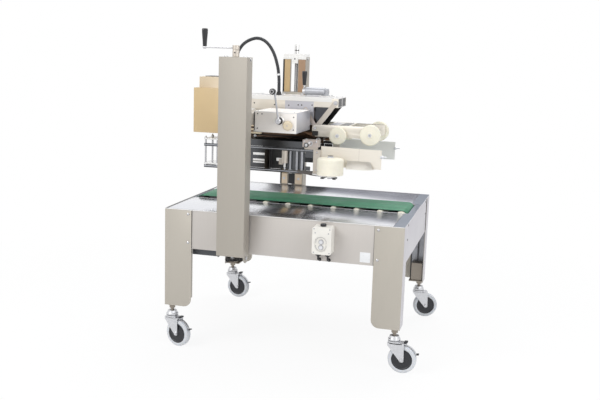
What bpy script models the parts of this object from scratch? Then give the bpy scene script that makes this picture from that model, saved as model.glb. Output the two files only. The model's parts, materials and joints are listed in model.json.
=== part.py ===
"""Semi-automatic carton sealer: belt table on casters, two lifting columns, taping head.

Metres, +Z up. X runs along the belt (cartons enter at +X), Y runs across it (operator's
side at -Y). The origin is on the floor, in the middle of the machine's bounding box.
"""
import math

import bmesh
import bpy
from mathutils import Matrix, Vector

# ---------------------------------------------------------------- driving sizes
ORIGIN_X = 0.0399          # middle of the bounding box, measured from the table's middle

SHEET = 0.003              # folded sheet thickness
GAP = 0.0004               # clearance between pieces that touch

TABLE_LENGTH = 1.090
TABLE_WIDTH = 0.900
TABLE_TOP = 0.650
APRON_DEPTH = 0.179
FLANGE = 0.025
HALF_LENGTH = TABLE_LENGTH / 2
HALF_WIDTH = TABLE_WIDTH / 2
FRAME_TOP = TABLE_TOP - SHEET - GAP
APRON_BOTTOM = TABLE_TOP - APRON_DEPTH

LEG_BOTTOM = 0.197
LEG_FACE = 0.128
LEG_SIDE = 0.090
LEG_CORNER_RADIUS = 0.035
FOOT_PLATE = 0.006

CASTER_X = 0.520
CASTER_Y = 0.420
WHEEL_RADIUS = 0.0625
WHEEL_WIDTH = 0.032
WHEEL_SIDES = 24
CASTER_TRAIL = 0.038
SWIVEL_TOP = 0.1655
STEM_RADIUS = 0.008
STEM_BOTTOM = 0.157
# corner name, x side, y side, trail heading in degrees, has a brake
CASTERS = (
    ("front_left", -1, -1, -16.5, True),
    ("front_right", 1, -1, 0.0, True),
    ("rear_left", -1, 1, -8.0, True),
    ("rear_right", 1, 1, 16.0, False),
)

BELT_WIDTH = 0.240
BELT_TOP = TABLE_TOP + 0.010
BELT_THICKNESS = 0.0027
PULLEY_RADIUS = 0.027
PULLEY_Z = BELT_TOP - 0.003 - PULLEY_RADIUS
DRIVE_PULLEY_X = -0.495
TAIL_PULLEY_X = 0.481
ROLLER_RADIUS = 0.022
ROLLER_Z = BELT_TOP - 0.003 - ROLLER_RADIUS
ROLLER_PITCH = 0.1105
ROLLER_COUNT = 6
FIRST_ROLLER_X = -0.171
ROLLER_HALF = 0.128
AXLE_RADIUS = 0.005
SLOT_HALF = 0.137          # half of the slot between the two table plates
RAIL_OUTER = 0.136         # belt bed side rails

COLUMN_X = -0.205
COLUMN_WIDTH = 0.126
COLUMN_INNER_Y = 0.4555
COLUMN_OUTER_Y = 0.528
COLUMN_BOTTOM = APRON_BOTTOM + 0.001
COLUMN_TOP = 1.334
SLOT_WIDTH = 0.036         # slot in the column's inner face
REAR_WINDOW = (0.090, 0.640, 1.300)                # width, z0, z1 of the cut in the rear column's back
SCREW_Y = 0.4915
SCREW_RADIUS = 0.010

CRANK_ARM_Z = 1.368
CRANK_THROW = 0.141
GRIP_TOP = 1.4505

BEAM_HALF_WIDTH = 0.085
BEAM_BOTTOM = 1.112
BEAM_TOP = 1.155
BEAM_LEFT = -0.3695
BEAM_RIGHT = 0.158
CROSS_BEAM = (-0.245, -0.165, 1.040, 1.0895)      # x0, x1, z0, z1
CARRIAGE = (1.035, 1.150)                         # z0, z1

HEAD_PLATE_Y = 0.060
GUIDE_SHAFT_XS = (-0.330, 0.065)
GUIDE_SHAFT_Z = 0.9555
GUIDE_SHAFT_RADIUS = 0.007
GUIDE_SHAFT_HALF = 0.300
WIPE_PIVOTS = {"front": (0.018, 1.045), "rear": (-0.120, 1.045)}
WIPE_REACH = (-0.062, -0.098)
WIPE_ROLLER_RADIUS = 0.018

PRESS_PIVOT = (0.055, 1.015)
PRESS_PLATE_Y = 0.100
PRESS_ARM_END = 0.352
# name, x, z, radius
PRESS_WHEELS = (
    ("press_wheels_rear", 0.168, 0.987, 0.040),
    ("press_wheels_front", 0.320, 0.997, 0.0475),
)

GUIDE_Y = 0.200
GUIDE_LEFT = -0.455
GUIDE_POST = (0.077, 0.112)
GUIDE_END = 0.390
POST_BOTTOM = 0.8100
UPPER_RAIL = (0.9130, 0.9260)
LOWER_RAIL = (0.8120, 0.8260)
HEEL = (0.8150, 0.8210)
SIDE_ROLLER = (0.172, 0.270)
SIDE_ROLLER_RADIUS = 0.060
SIDE_ROLLER_Z = (0.8260, 0.9030)
SIDE_ROLLER_STEM = (0.8100, 0.9060)

LEVER_HUB = (-0.045, 1.062)
HOUSING_FRONT = 0.350
ADJUSTER_AXIS = (0.050, 1.1765)

HOSE_RADIUS = 0.007
HOSE_POINTS = 46
HOSE_ROUTE = (
    (-0.388, 0.010, 1.1835), (-0.388, 0.009, 1.230), (-0.383, 0.006, 1.290),
    (-0.370, 0.003, 1.345), (-0.342, 0.000, 1.388), (-0.303, 0.000, 1.413),
    (-0.262, 0.000, 1.420), (-0.222, 0.000, 1.402), (-0.190, 0.002, 1.360),
    (-0.169, 0.005, 1.302), (-0.160, 0.010, 1.240), (-0.159, 0.014, 1.1555),
)

SWITCH_X = 0.2005
SWITCH_HALF_WIDTH = 0.0425
SWITCH_Z = (0.514, 0.634)
SWITCH_FRONT = -0.510
# name, x, z, radius
BUTTONS = (
    ("start_button", 0.1985, 0.570, 0.0085),
    ("stop_button", 0.1985, 0.546, 0.0085),
)

# ---------------------------------------------------------------- colours
# name: (red, green, blue, roughness, metallic)
FINISHES = {
    "stainless_panel": (0.62, 0.59, 0.54, 0.38, 0.6),
    "polished_steel": (0.66, 0.68, 0.72, 0.15, 1.0),
    "zinc": (0.74, 0.75, 0.77, 0.30, 1.0),
    "dark_steel": (0.12, 0.12, 0.13, 0.45, 0.7),
    "belt_green": (0.03, 0.25, 0.13, 0.55, 0.0),
    "cream_nylon": (0.88, 0.85, 0.72, 0.45, 0.0),
    "tan_paint": (0.65, 0.48, 0.27, 0.45, 0.0),
    "white_plastic": (0.85, 0.86, 0.87, 0.40, 0.0),
    "black_plastic": (0.02, 0.02, 0.022, 0.45, 0.0),
    "grey_rubber": (0.62, 0.64, 0.66, 0.60, 0.0),
    "button_plastic": (0.70, 0.74, 0.78, 0.30, 0.0),
}


def finish(name):
    """The shared Principled material of this finish, made the first time it is asked for."""
    found = bpy.data.materials.get(name)
    if found:
        return found
    red, green, blue, roughness, metallic = FINISHES[name]
    made = bpy.data.materials.new(name)
    made.use_nodes = True
    shader = made.node_tree.nodes["Principled BSDF"]
    shader.inputs["Base Color"].default_value = (red, green, blue, 1.0)
    shader.inputs["Roughness"].default_value = roughness
    shader.inputs["Metallic"].default_value = metallic
    made.diffuse_color = (red, green, blue, 1.0)
    return made


# ---------------------------------------------------------------- shapes
def shape(mesh_builder):
    """A new object from a bmesh, with its faces turned outwards."""
    bmesh.ops.recalc_face_normals(mesh_builder, faces=mesh_builder.faces)
    mesh = bpy.data.meshes.new("shape")
    mesh_builder.to_mesh(mesh)
    mesh_builder.free()
    made = bpy.data.objects.new("shape", mesh)
    bpy.context.scene.collection.objects.link(made)
    return made


def prism(outline, axis, low, high):
    """An outline swept along X, Y or Z. The outline's two numbers are the other two axes, in order."""
    order = {"X": (2, 0, 1), "Y": (0, 2, 1), "Z": (0, 1, 2)}[axis]
    builder = bmesh.new()
    rings = []
    for level in (low, high):
        ring = []
        for first, second in outline:
            values = (first, second, level)
            ring.append(builder.verts.new([values[index] for index in order]))
        rings.append(ring)
    builder.faces.new(rings[0])
    builder.faces.new(rings[1])
    for index in range(len(outline)):
        after = (index + 1) % len(outline)
        builder.faces.new((rings[0][index], rings[0][after], rings[1][after], rings[1][index]))
    return shape(builder)


def box(x_low, x_high, y_low, y_high, z_low, z_high):
    """A plain block between two corners, given in any order."""
    x_low, x_high = sorted((x_low, x_high))
    y_low, y_high = sorted((y_low, y_high))
    z_low, z_high = sorted((z_low, z_high))
    return prism(((x_low, y_low), (x_high, y_low), (x_high, y_high), (x_low, y_high)), "Z", z_low, z_high)


def turned(profile, centre, axis, sides=24, ring=False, half_step=False):
    """A profile of (radius, distance along) points spun about an axis through the centre.

    With ring, the profile is a closed loop around a bore. With half_step, a flat side
    faces along the first cross direction, and the radii are measured to the flats.
    """
    axis = Vector(axis).normalized()
    across = Vector((0, 0, -1)) if abs(axis.z) < 0.5 else Vector((1, 0, 0))
    third = axis.cross(across)
    centre = Vector(centre)
    offset = math.pi / sides if half_step else 0.0
    growth = 1 / math.cos(math.pi / sides) if half_step else 1.0
    builder = bmesh.new()
    rings = []
    for radius, along in profile:
        base = centre + axis * along
        if radius == 0:
            rings.append([builder.verts.new(base)])
            continue
        circle = []
        for step in range(sides):
            angle = 2 * math.pi * step / sides + offset
            spoke = across * math.cos(angle) + third * math.sin(angle)
            circle.append(builder.verts.new(base + spoke * radius * growth))
        rings.append(circle)
    pairs = list(zip(rings, rings[1:]))
    if ring:
        pairs.append((rings[-1], rings[0]))
    for below, above in pairs:
        if len(below) == 1 and len(above) == 1:
            continue
        for step in range(sides):
            after = (step + 1) % sides
            if len(below) == 1:
                builder.faces.new((below[0], above[step], above[after]))
            elif len(above) == 1:
                builder.faces.new((below[step], below[after], above[0]))
            else:
                builder.faces.new((below[step], below[after], above[after], above[step]))
    if not ring:
        for end in (rings[0], rings[-1]):
            if len(end) > 1:
                builder.faces.new(end)
    return shape(builder)


def rod(start, end, radius, sides=16):
    """A plain round bar between two points."""
    start, end = Vector(start), Vector(end)
    length = (end - start).length
    return turned(((radius, 0), (radius, length)), start, end - start, sides)


def arc(centre, radius, start_degrees, end_degrees, steps):
    """Points on a circle, for use in an outline."""
    points = []
    for step in range(steps + 1):
        angle = math.radians(start_degrees + (end_degrees - start_degrees) * step / steps)
        points.append((centre[0] + radius * math.cos(angle), centre[1] + radius * math.sin(angle)))
    return points


def strap(start, end, half_width, steps=6):
    """Outline of a flat bar with round ends, between two points of the XZ plane."""
    heading = math.degrees(math.atan2(end[1] - start[1], end[0] - start[0]))
    far_end = arc(end, half_width, heading - 90, heading + 90, steps)
    near_end = arc(start, half_width, heading + 90, heading + 270, steps)
    return far_end + near_end


def mirrored(outline, side):
    """An outline's first numbers times a side of +1 or -1."""
    return [(first * side, second) for first, second in outline]


# ---------------------------------------------------------------- assembly
def combine(base, other, operation):
    """Joins or cuts one shape with another, which is then removed."""
    modifier = base.modifiers.new("combine", "BOOLEAN")
    modifier.operation = operation
    modifier.solver = "EXACT"
    modifier.object = other
    depsgraph = bpy.context.evaluated_depsgraph_get()
    result = bpy.data.meshes.new_from_object(base.evaluated_get(depsgraph))
    base.modifiers.clear()
    old = base.data
    base.data = result
    bpy.data.meshes.remove(old)
    bpy.data.objects.remove(other)


def empty(name, place, parent=None):
    """A marker on a joint's axis, which the joint's pieces hang from."""
    made = bpy.data.objects.new(name, None)
    made.empty_display_size = 0.05
    bpy.context.scene.collection.objects.link(made)
    made["place"] = tuple(place)
    made.parent = parent
    origin = Vector(parent["place"]) if parent else Vector((0, 0, 0))
    made.location = Vector(place) - origin
    return made


def piece(name, finish_name, parts, cuts=(), parent=None, smooth=False):
    """One named solid: its parts united, its cuts taken out, its origin on its parent's axis."""
    base = parts[0]
    for other in parts[1:]:
        combine(base, other, "UNION")
    for cutter in cuts:
        combine(base, cutter, "DIFFERENCE")
    base.name = name
    base.data.name = name
    base.data.materials.clear()
    base.data.materials.append(finish(finish_name))
    base.data.transform(Matrix.Translation(-Vector(parent["place"])))
    base.parent = parent
    if smooth:
        base.data.shade_smooth()
        base.data.set_sharp_from_angle(angle=math.radians(35))
    return base


# ---------------------------------------------------------------- table
def channel(side):
    """Outline (y, z) of the long side panels: a web with flanges turned inwards."""
    outer = HALF_WIDTH - SHEET - GAP
    inner = outer - SHEET
    lip = inner - FLANGE
    top = FRAME_TOP
    return mirrored((
        (outer, APRON_BOTTOM), (outer, top), (lip, top), (lip, top - SHEET), (inner, top - SHEET),
        (inner, APRON_BOTTOM + SHEET), (lip, APRON_BOTTOM + SHEET), (lip, APRON_BOTTOM),
    ), side)


def make_aprons(frame):
    reach = HALF_LENGTH - 2 * SHEET - 0.001
    for name, side in (("front_apron", -1), ("rear_apron", 1)):
        web = prism(channel(side), "X", -reach, reach)
        piece(name, "stainless_panel", [web], parent=frame)


def make_end_panels(frame):
    outer = HALF_LENGTH - SHEET - GAP
    inner = outer - SHEET
    lip = inner - FLANGE
    web_reach = HALF_WIDTH - SHEET - 0.001
    flange_reach = web_reach - SHEET - FLANGE - 0.002
    belt_clearance = PULLEY_RADIUS + 0.0045
    for name, side, pulley_x in (("left_end_panel", -1, DRIVE_PULLEY_X),
                                 ("right_end_panel", 1, TAIL_PULLEY_X)):
        web = box(outer * side, inner * side, -web_reach, web_reach, APRON_BOTTOM, FRAME_TOP)
        bottom = box((outer - 0.001) * side, lip * side, -flange_reach, flange_reach,
                     APRON_BOTTOM, APRON_BOTTOM + SHEET)
        sill = box((outer - 0.001) * side, pulley_x + belt_clearance * side, -SLOT_HALF + 0.001,
                   SLOT_HALF - 0.001,
                   FRAME_TOP - SHEET, TABLE_TOP)
        piece(name, "stainless_panel", [web, bottom, sill], parent=frame)


def make_legs(frame):
    """Folded corner legs with a foot plate and a fixed threaded stem for the caster."""
    inner_edge = HALF_LENGTH - LEG_FACE
    for name, side_x, side_y, _, _ in CASTERS:
        corner = arc((inner_edge + LEG_CORNER_RADIUS, LEG_BOTTOM + LEG_CORNER_RADIUS),
                     LEG_CORNER_RADIUS, 180, 270, 5)
        outline = [(HALF_LENGTH, FRAME_TOP), (inner_edge, FRAME_TOP)] + corner
        outline.append((HALF_LENGTH, LEG_BOTTOM))
        face = prism(mirrored(outline, side_x), "Y",
                     (HALF_WIDTH - SHEET) * side_y, HALF_WIDTH * side_y)
        flank = box(HALF_LENGTH * side_x, (HALF_LENGTH - SHEET) * side_x,
                    (HALF_WIDTH - LEG_SIDE) * side_y, (HALF_WIDTH - 0.001) * side_y,
                    LEG_BOTTOM, FRAME_TOP)
        return_lip = box(inner_edge * side_x, (inner_edge + SHEET) * side_x,
                         (HALF_WIDTH - 0.018) * side_y, (HALF_WIDTH - 0.001) * side_y,
                         LEG_BOTTOM + LEG_CORNER_RADIUS + 0.008, APRON_BOTTOM - 0.003)
        foot = box((HALF_LENGTH - 0.001) * side_x, (HALF_LENGTH - 0.075) * side_x,
                   (HALF_WIDTH - 0.001) * side_y, (HALF_WIDTH - 0.075) * side_y,
                   LEG_BOTTOM + 0.0005, LEG_BOTTOM + FOOT_PLATE)
        axis = (CASTER_X * side_x, CASTER_Y * side_y)
        stem = rod((*axis, STEM_BOTTOM), (*axis, LEG_BOTTOM + 0.004), STEM_RADIUS, 10)
        nut = turned(((0.0145, 0), (0.0145, 0.012)), (*axis, 0.1775), (0, 0, 1), 6)
        spacer = turned(((0.017, 0), (0.017, 0.010)), (*axis, 0.1890), (0, 0, 1), 12)
        piece("leg_" + name, "stainless_panel",
              [face, flank, return_lip, foot, stem, nut, spacer], parent=frame)


def make_table_plates(frame):
    """Polished top plates, folded down along the belt slot."""
    for name, side in (("table_plate_front", -1), ("table_plate_rear", 1)):
        plate = box(-HALF_LENGTH, HALF_LENGTH, SLOT_HALF * side, HALF_WIDTH * side, TABLE_TOP - SHEET,
                    TABLE_TOP)
        fold_reach = HALF_LENGTH - 3 * SHEET
        fold = box(-fold_reach, fold_reach, SLOT_HALF * side, (SLOT_HALF + SHEET) * side,
                   TABLE_TOP - 0.022, TABLE_TOP - 0.001)
        piece(name, "polished_steel", [plate, fold], parent=frame)


# ---------------------------------------------------------------- casters
def make_caster(frame, name, side_x, side_y, heading, braked):
    """A swivelling fork on the leg's stem, and its wheel."""
    swivel = empty("swivel_" + name, (CASTER_X * side_x, CASTER_Y * side_y, 0), frame)
    spin = empty("axle_" + name, (CASTER_X * side_x + CASTER_TRAIL, CASTER_Y * side_y, WHEEL_RADIUS), swivel)
    axis_x, axis_y, _ = swivel["place"]
    hub_x = axis_x + CASTER_TRAIL

    crown = box(axis_x - 0.027, axis_x + 0.046, axis_y - 0.0225, axis_y + 0.0225, 0.1300, 0.1365)
    race = turned(((0.0275, 0), (0.0275, 0.018), (0.021, SWIVEL_TOP - 0.1355)),
                  (axis_x, axis_y, 0.1355), (0, 0, 1), 14)
    cheek = (
        (axis_x - 0.027, 0.1360), (axis_x - 0.027, 0.1230), (hub_x - 0.010, 0.0520),
        (hub_x + 0.009, 0.0520), (axis_x + 0.046, 0.1200), (axis_x + 0.046, 0.1360),
    )
    parts = [crown, race]
    for side in (-1, 1):
        parts.append(prism(cheek, "Y", axis_y + 0.0195 * side, axis_y + 0.0225 * side))
    parts.append(rod((hub_x, axis_y - 0.0265, WHEEL_RADIUS), (hub_x, axis_y + 0.0265, WHEEL_RADIUS),
                     0.006, 8))
    for side in (-1, 1):
        head = turned(((0.010, 0), (0.010, 0.005)), (hub_x, axis_y + 0.0245 * side - 0.0025, WHEEL_RADIUS),
                      (0, 1, 0), 6)
        parts.append(head)
    if braked:
        track = arc((hub_x, WHEEL_RADIUS), WHEEL_RADIUS + 0.0040, 74, 22, 4)
        track += arc((hub_x, WHEEL_RADIUS), WHEEL_RADIUS + 0.0085, 22, 74, 4)
        parts.append(prism(track, "Y", axis_y - 0.010, axis_y + 0.010))
        pedal = ((hub_x + 0.0625, 0.0870), (hub_x + 0.0740, 0.0880), (hub_x + 0.0740, 0.0920),
                 (hub_x + 0.0610, 0.0915))
        parts.append(prism(pedal, "Y", axis_y - 0.0135, axis_y + 0.0135))
        parts.append(box(axis_x + 0.040, hub_x + 0.0250, axis_y - 0.014, axis_y + 0.014, 0.1292, 0.1480))
    socket = rod((axis_x, axis_y, STEM_BOTTOM - 0.001), (axis_x, axis_y, SWIVEL_TOP + 0.002),
                 STEM_RADIUS + 0.0008, 10)
    piece("caster_fork_" + name, "zinc", parts, [socket], swivel)

    half = WHEEL_WIDTH / 2
    tyre_profile = (
        (0.0068, -0.0180), (0.0160, -0.0180), (0.0575, -half), (WHEEL_RADIUS, -half + 0.006),
        (WHEEL_RADIUS, half - 0.006), (0.0575, half), (0.0160, 0.0180), (0.0068, 0.0180),
    )
    tyre = turned(tyre_profile, (hub_x, axis_y, WHEEL_RADIUS), (0, 1, 0), WHEEL_SIDES, ring=True,
                  half_step=True)
    piece("caster_wheel_" + name, "grey_rubber", [tyre], parent=spin, smooth=True)
    swivel.rotation_euler = (0, 0, math.radians(heading))


# ---------------------------------------------------------------- belt conveyor
def roller_places():
    return [FIRST_ROLLER_X + ROLLER_PITCH * index for index in range(ROLLER_COUNT)]


def make_belt_bed(frame):
    """The trough under the belt: side rails with axle holes, cross members, a slider pan."""
    floor = box(-0.508, 0.508, -RAIL_OUTER, RAIL_OUTER, 0.583, 0.586)
    parts = [floor]
    for side in (-1, 1):
        parts.append(box(-0.508, 0.508, RAIL_OUTER * side, (RAIL_OUTER - SHEET) * side, 0.583, 0.6425))
    for middle in (-0.300, 0.300):
        parts.append(box(middle - 0.020, middle + 0.020, -0.4430, 0.4430, 0.560, 0.5835))
    parts.append(box(-0.455, -0.215, -RAIL_OUTER + 0.001, RAIL_OUTER - 0.001, 0.6260, 0.6400))
    parts.append(box(-0.455, -0.215, -ROLLER_HALF, ROLLER_HALF, 0.6390, BELT_TOP - 0.003))
    cuts = []
    axles = [(place, ROLLER_Z) for place in roller_places()]
    axles += [(DRIVE_PULLEY_X, PULLEY_Z), (TAIL_PULLEY_X, PULLEY_Z)]
    for place, height in axles:
        for side in (-1, 1):
            start = (place, (RAIL_OUTER - 0.005) * side, height)
            cuts.append(rod(start, (place, (RAIL_OUTER + 0.002) * side, height), AXLE_RADIUS + 0.0007, 8))
    piece("belt_bed", "dark_steel", parts, cuts, frame)


def make_belt(frame):
    """An endless flat belt around both pulleys."""
    def loop(radius):
        right = arc((TAIL_PULLEY_X, PULLEY_Z), radius, -90, 90, 10)
        left = arc((DRIVE_PULLEY_X, PULLEY_Z), radius, 90, 270, 10)
        return right + left
    outer_radius = PULLEY_RADIUS + 0.003
    half = BELT_WIDTH / 2
    band = prism(loop(outer_radius), "Y", -half, half)
    hollow = prism(loop(outer_radius - BELT_THICKNESS), "Y", -half - 0.01, half + 0.01)
    piece("conveyor_belt", "belt_green", [band], [hollow], frame)


def make_roller(frame, name, place, height, radius, half, finish_name, sides):
    """A roller with its stub axles, turning about a line across the belt."""
    spin = empty("spin_" + name, (place, 0, height), frame)
    stub = RAIL_OUTER - 0.0003
    profile = (
        (AXLE_RADIUS, -stub), (AXLE_RADIUS, -half), (radius, -half), (radius, half), (AXLE_RADIUS, half),
        (AXLE_RADIUS, stub),
    )
    body = turned(profile, (place, 0, height), (0, 1, 0), sides)
    piece(name, finish_name, [body], parent=spin, smooth=True)


def make_conveyor(frame):
    make_belt_bed(frame)
    make_belt(frame)
    make_roller(frame, "drive_pulley", DRIVE_PULLEY_X, PULLEY_Z, PULLEY_RADIUS - GAP, 0.1215,
                "dark_steel", 18)
    make_roller(frame, "tail_pulley", TAIL_PULLEY_X, PULLEY_Z, PULLEY_RADIUS - GAP, 0.1215, "zinc", 18)
    for index, place in enumerate(roller_places(), 1):
        make_roller(frame, f"support_roller_{index}", place, ROLLER_Z, ROLLER_RADIUS, ROLLER_HALF,
                    "cream_nylon", 14)


def make_motor(frame):
    """Gear motor hung under the belt bed at the outfeed end."""
    middle = -0.375
    can = turned(((0.040, -0.205), (0.048, -0.195), (0.048, 0.0), (0.030, 0.002)),
                 (middle, -0.205, 0.4805), (0, 1, 0), 18)
    gearbox = box(middle - 0.042, middle + 0.042, -0.206, -0.100, 0.435, 0.540)
    bracket = box(middle - 0.052, middle + 0.052, -0.190, -0.116, 0.538, 0.5825)
    output = rod((middle, -0.104, 0.478), (middle, -0.070, 0.478), 0.012, 12)
    sprocket = turned(((0.024, 0), (0.024, 0.006)), (middle, -0.082, 0.478), (0, 1, 0), 16)
    terminal_box = box(middle - 0.025, middle + 0.025, -0.330, -0.260, 0.5200, 0.5520)
    piece("belt_motor", "dark_steel", [can, gearbox, bracket, output, sprocket, terminal_box], parent=frame)


# ---------------------------------------------------------------- columns and lifting screws
def column_outline(side):
    """Outline (x, y) of a column: a channel with two lips and a slot that faces the head."""
    half = COLUMN_WIDTH / 2
    slot = SLOT_WIDTH / 2
    wall = SHEET
    rows = (
        (-slot, COLUMN_INNER_Y), (-half, COLUMN_INNER_Y), (-half, COLUMN_OUTER_Y), (half, COLUMN_OUTER_Y),
        (half, COLUMN_INNER_Y), (slot, COLUMN_INNER_Y), (slot, COLUMN_INNER_Y + wall),
        (half - wall, COLUMN_INNER_Y + wall), (half - wall, COLUMN_OUTER_Y - wall),
        (-half + wall, COLUMN_OUTER_Y - wall), (-half + wall, COLUMN_INNER_Y + wall),
        (-slot, COLUMN_INNER_Y + wall),
    )
    return [(COLUMN_X + x, y * side) for x, y in rows]


def make_columns(frame):
    half = COLUMN_WIDTH / 2
    for name, side in (("front_column", -1), ("rear_column", 1)):
        body = prism(column_outline(side), "Z", COLUMN_BOTTOM, COLUMN_TOP - 0.001)
        plates = []
        for low, high in ((COLUMN_TOP - SHEET, COLUMN_TOP), (COLUMN_BOTTOM, COLUMN_BOTTOM + 0.006)):
            plates.append(box(COLUMN_X - half, COLUMN_X + half, COLUMN_INNER_Y * side,
                              COLUMN_OUTER_Y * side, low, high))
        middle_y = (COLUMN_INNER_Y + COLUMN_OUTER_Y) / 2
        radius = (COLUMN_OUTER_Y - COLUMN_INNER_Y) / 2
        lug_outline = arc((middle_y, COLUMN_BOTTOM + 0.006), radius, 180, 360, 10)
        lug = prism(mirrored(lug_outline, side), "X", COLUMN_X + half - SHEET, COLUMN_X + half)
        pads = []
        for low in (APRON_BOTTOM + 0.020, APRON_BOTTOM + 0.140):
            pads.append(box(COLUMN_X - 0.050, COLUMN_X + 0.050, (HALF_WIDTH - SHEET) * side,
                            (COLUMN_INNER_Y + 0.001) * side, low, low + 0.025))
        cuts = []
        cuts.append(rod((COLUMN_X, SCREW_Y * side, COLUMN_TOP - 0.01),
                        (COLUMN_X, SCREW_Y * side, COLUMN_TOP + 0.01),
                        SCREW_RADIUS + 0.0006))
        cuts.append(rod((COLUMN_X, SCREW_Y * side, COLUMN_BOTTOM - 0.01),
                        (COLUMN_X, SCREW_Y * side, COLUMN_BOTTOM + 0.01),
                        0.0086))
        if side > 0:
            width, low, high = REAR_WINDOW
            cuts.append(box(COLUMN_X - width / 2, COLUMN_X + width / 2, COLUMN_OUTER_Y - SHEET - 0.001,
                            COLUMN_OUTER_Y + 0.001, low, high))
        piece(name, "stainless_panel", [body] + plates + [lug] + pads, cuts, frame)


def make_screws(frame):
    """Both lifting screws, linked by a chain under the table, and the crank on the front one."""
    crank = empty("crank_axis", (COLUMN_X, -SCREW_Y, 0), frame)
    follower = empty("rear_screw_axis", (COLUMN_X, SCREW_Y, 0), frame)
    sprocket_z = 0.4500
    for name, side, parent, top in (("front_lead_screw", -1, crank, 1.3835),
                                    ("rear_lead_screw", 1, follower, 1.356)):
        profile = (
            (0.006, sprocket_z - 0.006), (0.006, sprocket_z), (0.026, sprocket_z),
            (0.026, sprocket_z + 0.006),
            (0.008, sprocket_z + 0.006), (0.008, COLUMN_BOTTOM + 0.0075),
            (SCREW_RADIUS, COLUMN_BOTTOM + 0.0075),
            (SCREW_RADIUS, top),
        )
        parts = [turned(profile, (COLUMN_X, SCREW_Y * side, 0), (0, 0, 1), 12)]
        if side > 0:
            collar = turned(((0.015, 0), (0.015, 0.012)), (COLUMN_X, SCREW_Y, COLUMN_TOP + GAP),
                            (0, 0, 1), 12)
            head = turned(((0.012, 0), (0.012, 0.052), (0.010, 0.054)), (COLUMN_X, SCREW_Y, 1.345),
                          (0, 0, 1), 12)
            parts += [collar, head]
        piece(name, "zinc", parts, parent=parent)

    hub = turned(((0.0130, 0), (0.0148, 0.003), (0.0148, 0.0460), (0.0130, 0.0490)),
                 (COLUMN_X, -SCREW_Y, COLUMN_TOP + GAP), (0, 0, 1), 16)
    arm = box(COLUMN_X - CRANK_THROW - 0.009, COLUMN_X - 0.012, -SCREW_Y - 0.009, -SCREW_Y + 0.009,
              CRANK_ARM_Z, CRANK_ARM_Z + 0.006)
    grip_x = COLUMN_X - CRANK_THROW
    pin = rod((grip_x, -SCREW_Y, CRANK_ARM_Z + 0.002), (grip_x, -SCREW_Y, GRIP_TOP - 0.008), 0.004, 8)
    bore = rod((COLUMN_X, -SCREW_Y, COLUMN_TOP - 0.01), (COLUMN_X, -SCREW_Y, 1.3835 + GAP),
               SCREW_RADIUS + GAP)
    piece("crank_arm", "polished_steel", [hub, arm, pin], [bore], crank)

    spin = empty("grip_axis", (grip_x, -SCREW_Y, 0), crank)
    low = CRANK_ARM_Z + 0.0066
    profile = (
        (0.0046, low), (0.0085, low), (0.0085, low + 0.004), (0.0125, GRIP_TOP - 0.020),
        (0.0130, GRIP_TOP - 0.006),
        (0.0110, GRIP_TOP), (0, GRIP_TOP), (0, GRIP_TOP - 0.0074), (0.0046, GRIP_TOP - 0.0074),
    )
    grip = turned(profile, (grip_x, -SCREW_Y, 0), (0, 0, 1), 14, ring=True)
    piece("crank_grip", "black_plastic", [grip], parent=spin, smooth=True)


# ---------------------------------------------------------------- switch box
def make_switch(frame):
    """Enclosure on the operator's side with a sunk oval plate and two push buttons."""
    left, right = SWITCH_X - SWITCH_HALF_WIDTH, SWITCH_X + SWITCH_HALF_WIDTH
    low, high = SWITCH_Z
    back = -HALF_WIDTH + SHEET
    body = box(left, right, SWITCH_FRONT, back, low, high)
    cap = box(SWITCH_X - 0.014, SWITCH_X + 0.012, -0.495, -0.465, high - 0.001, high + 0.011)
    glands = []
    for place in (SWITCH_X - 0.020, SWITCH_X + 0.022):
        glands.append(turned(((0.0080, 0), (0.0080, 0.018)), (place, -0.478, low - 0.017), (0, 0, 1), 12))
    oval_x = SWITCH_X - 0.003
    oval_z = 0.5595
    half_width, half_height = 0.0270, 0.0345
    oval = arc((oval_x, oval_z + half_height - half_width), half_width, 0, 180, 10)
    oval += arc((oval_x, oval_z - half_height + half_width), half_width, 180, 360, 10)
    recess = prism(oval, "Y", SWITCH_FRONT - 0.01, SWITCH_FRONT + 0.003)
    cuts = [recess]
    for name, x, z, radius in BUTTONS:
        cuts.append(rod((x, SWITCH_FRONT - 0.01, z), (x, SWITCH_FRONT + 0.020, z), radius + 0.0004))
    piece("switch_box", "white_plastic", [body, cap] + glands, cuts, frame)
    for name, x, z, radius in BUTTONS:
        press = empty("press_" + name, (x, SWITCH_FRONT - 0.005, z), frame)
        profile = ((radius - 0.001, 0), (radius, 0.001), (radius, 0.020))
        body = turned(profile, (x, SWITCH_FRONT - 0.005, z), (0, 1, 0), 14)
        piece(name, "button_plastic", [body], parent=press, smooth=True)


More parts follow.
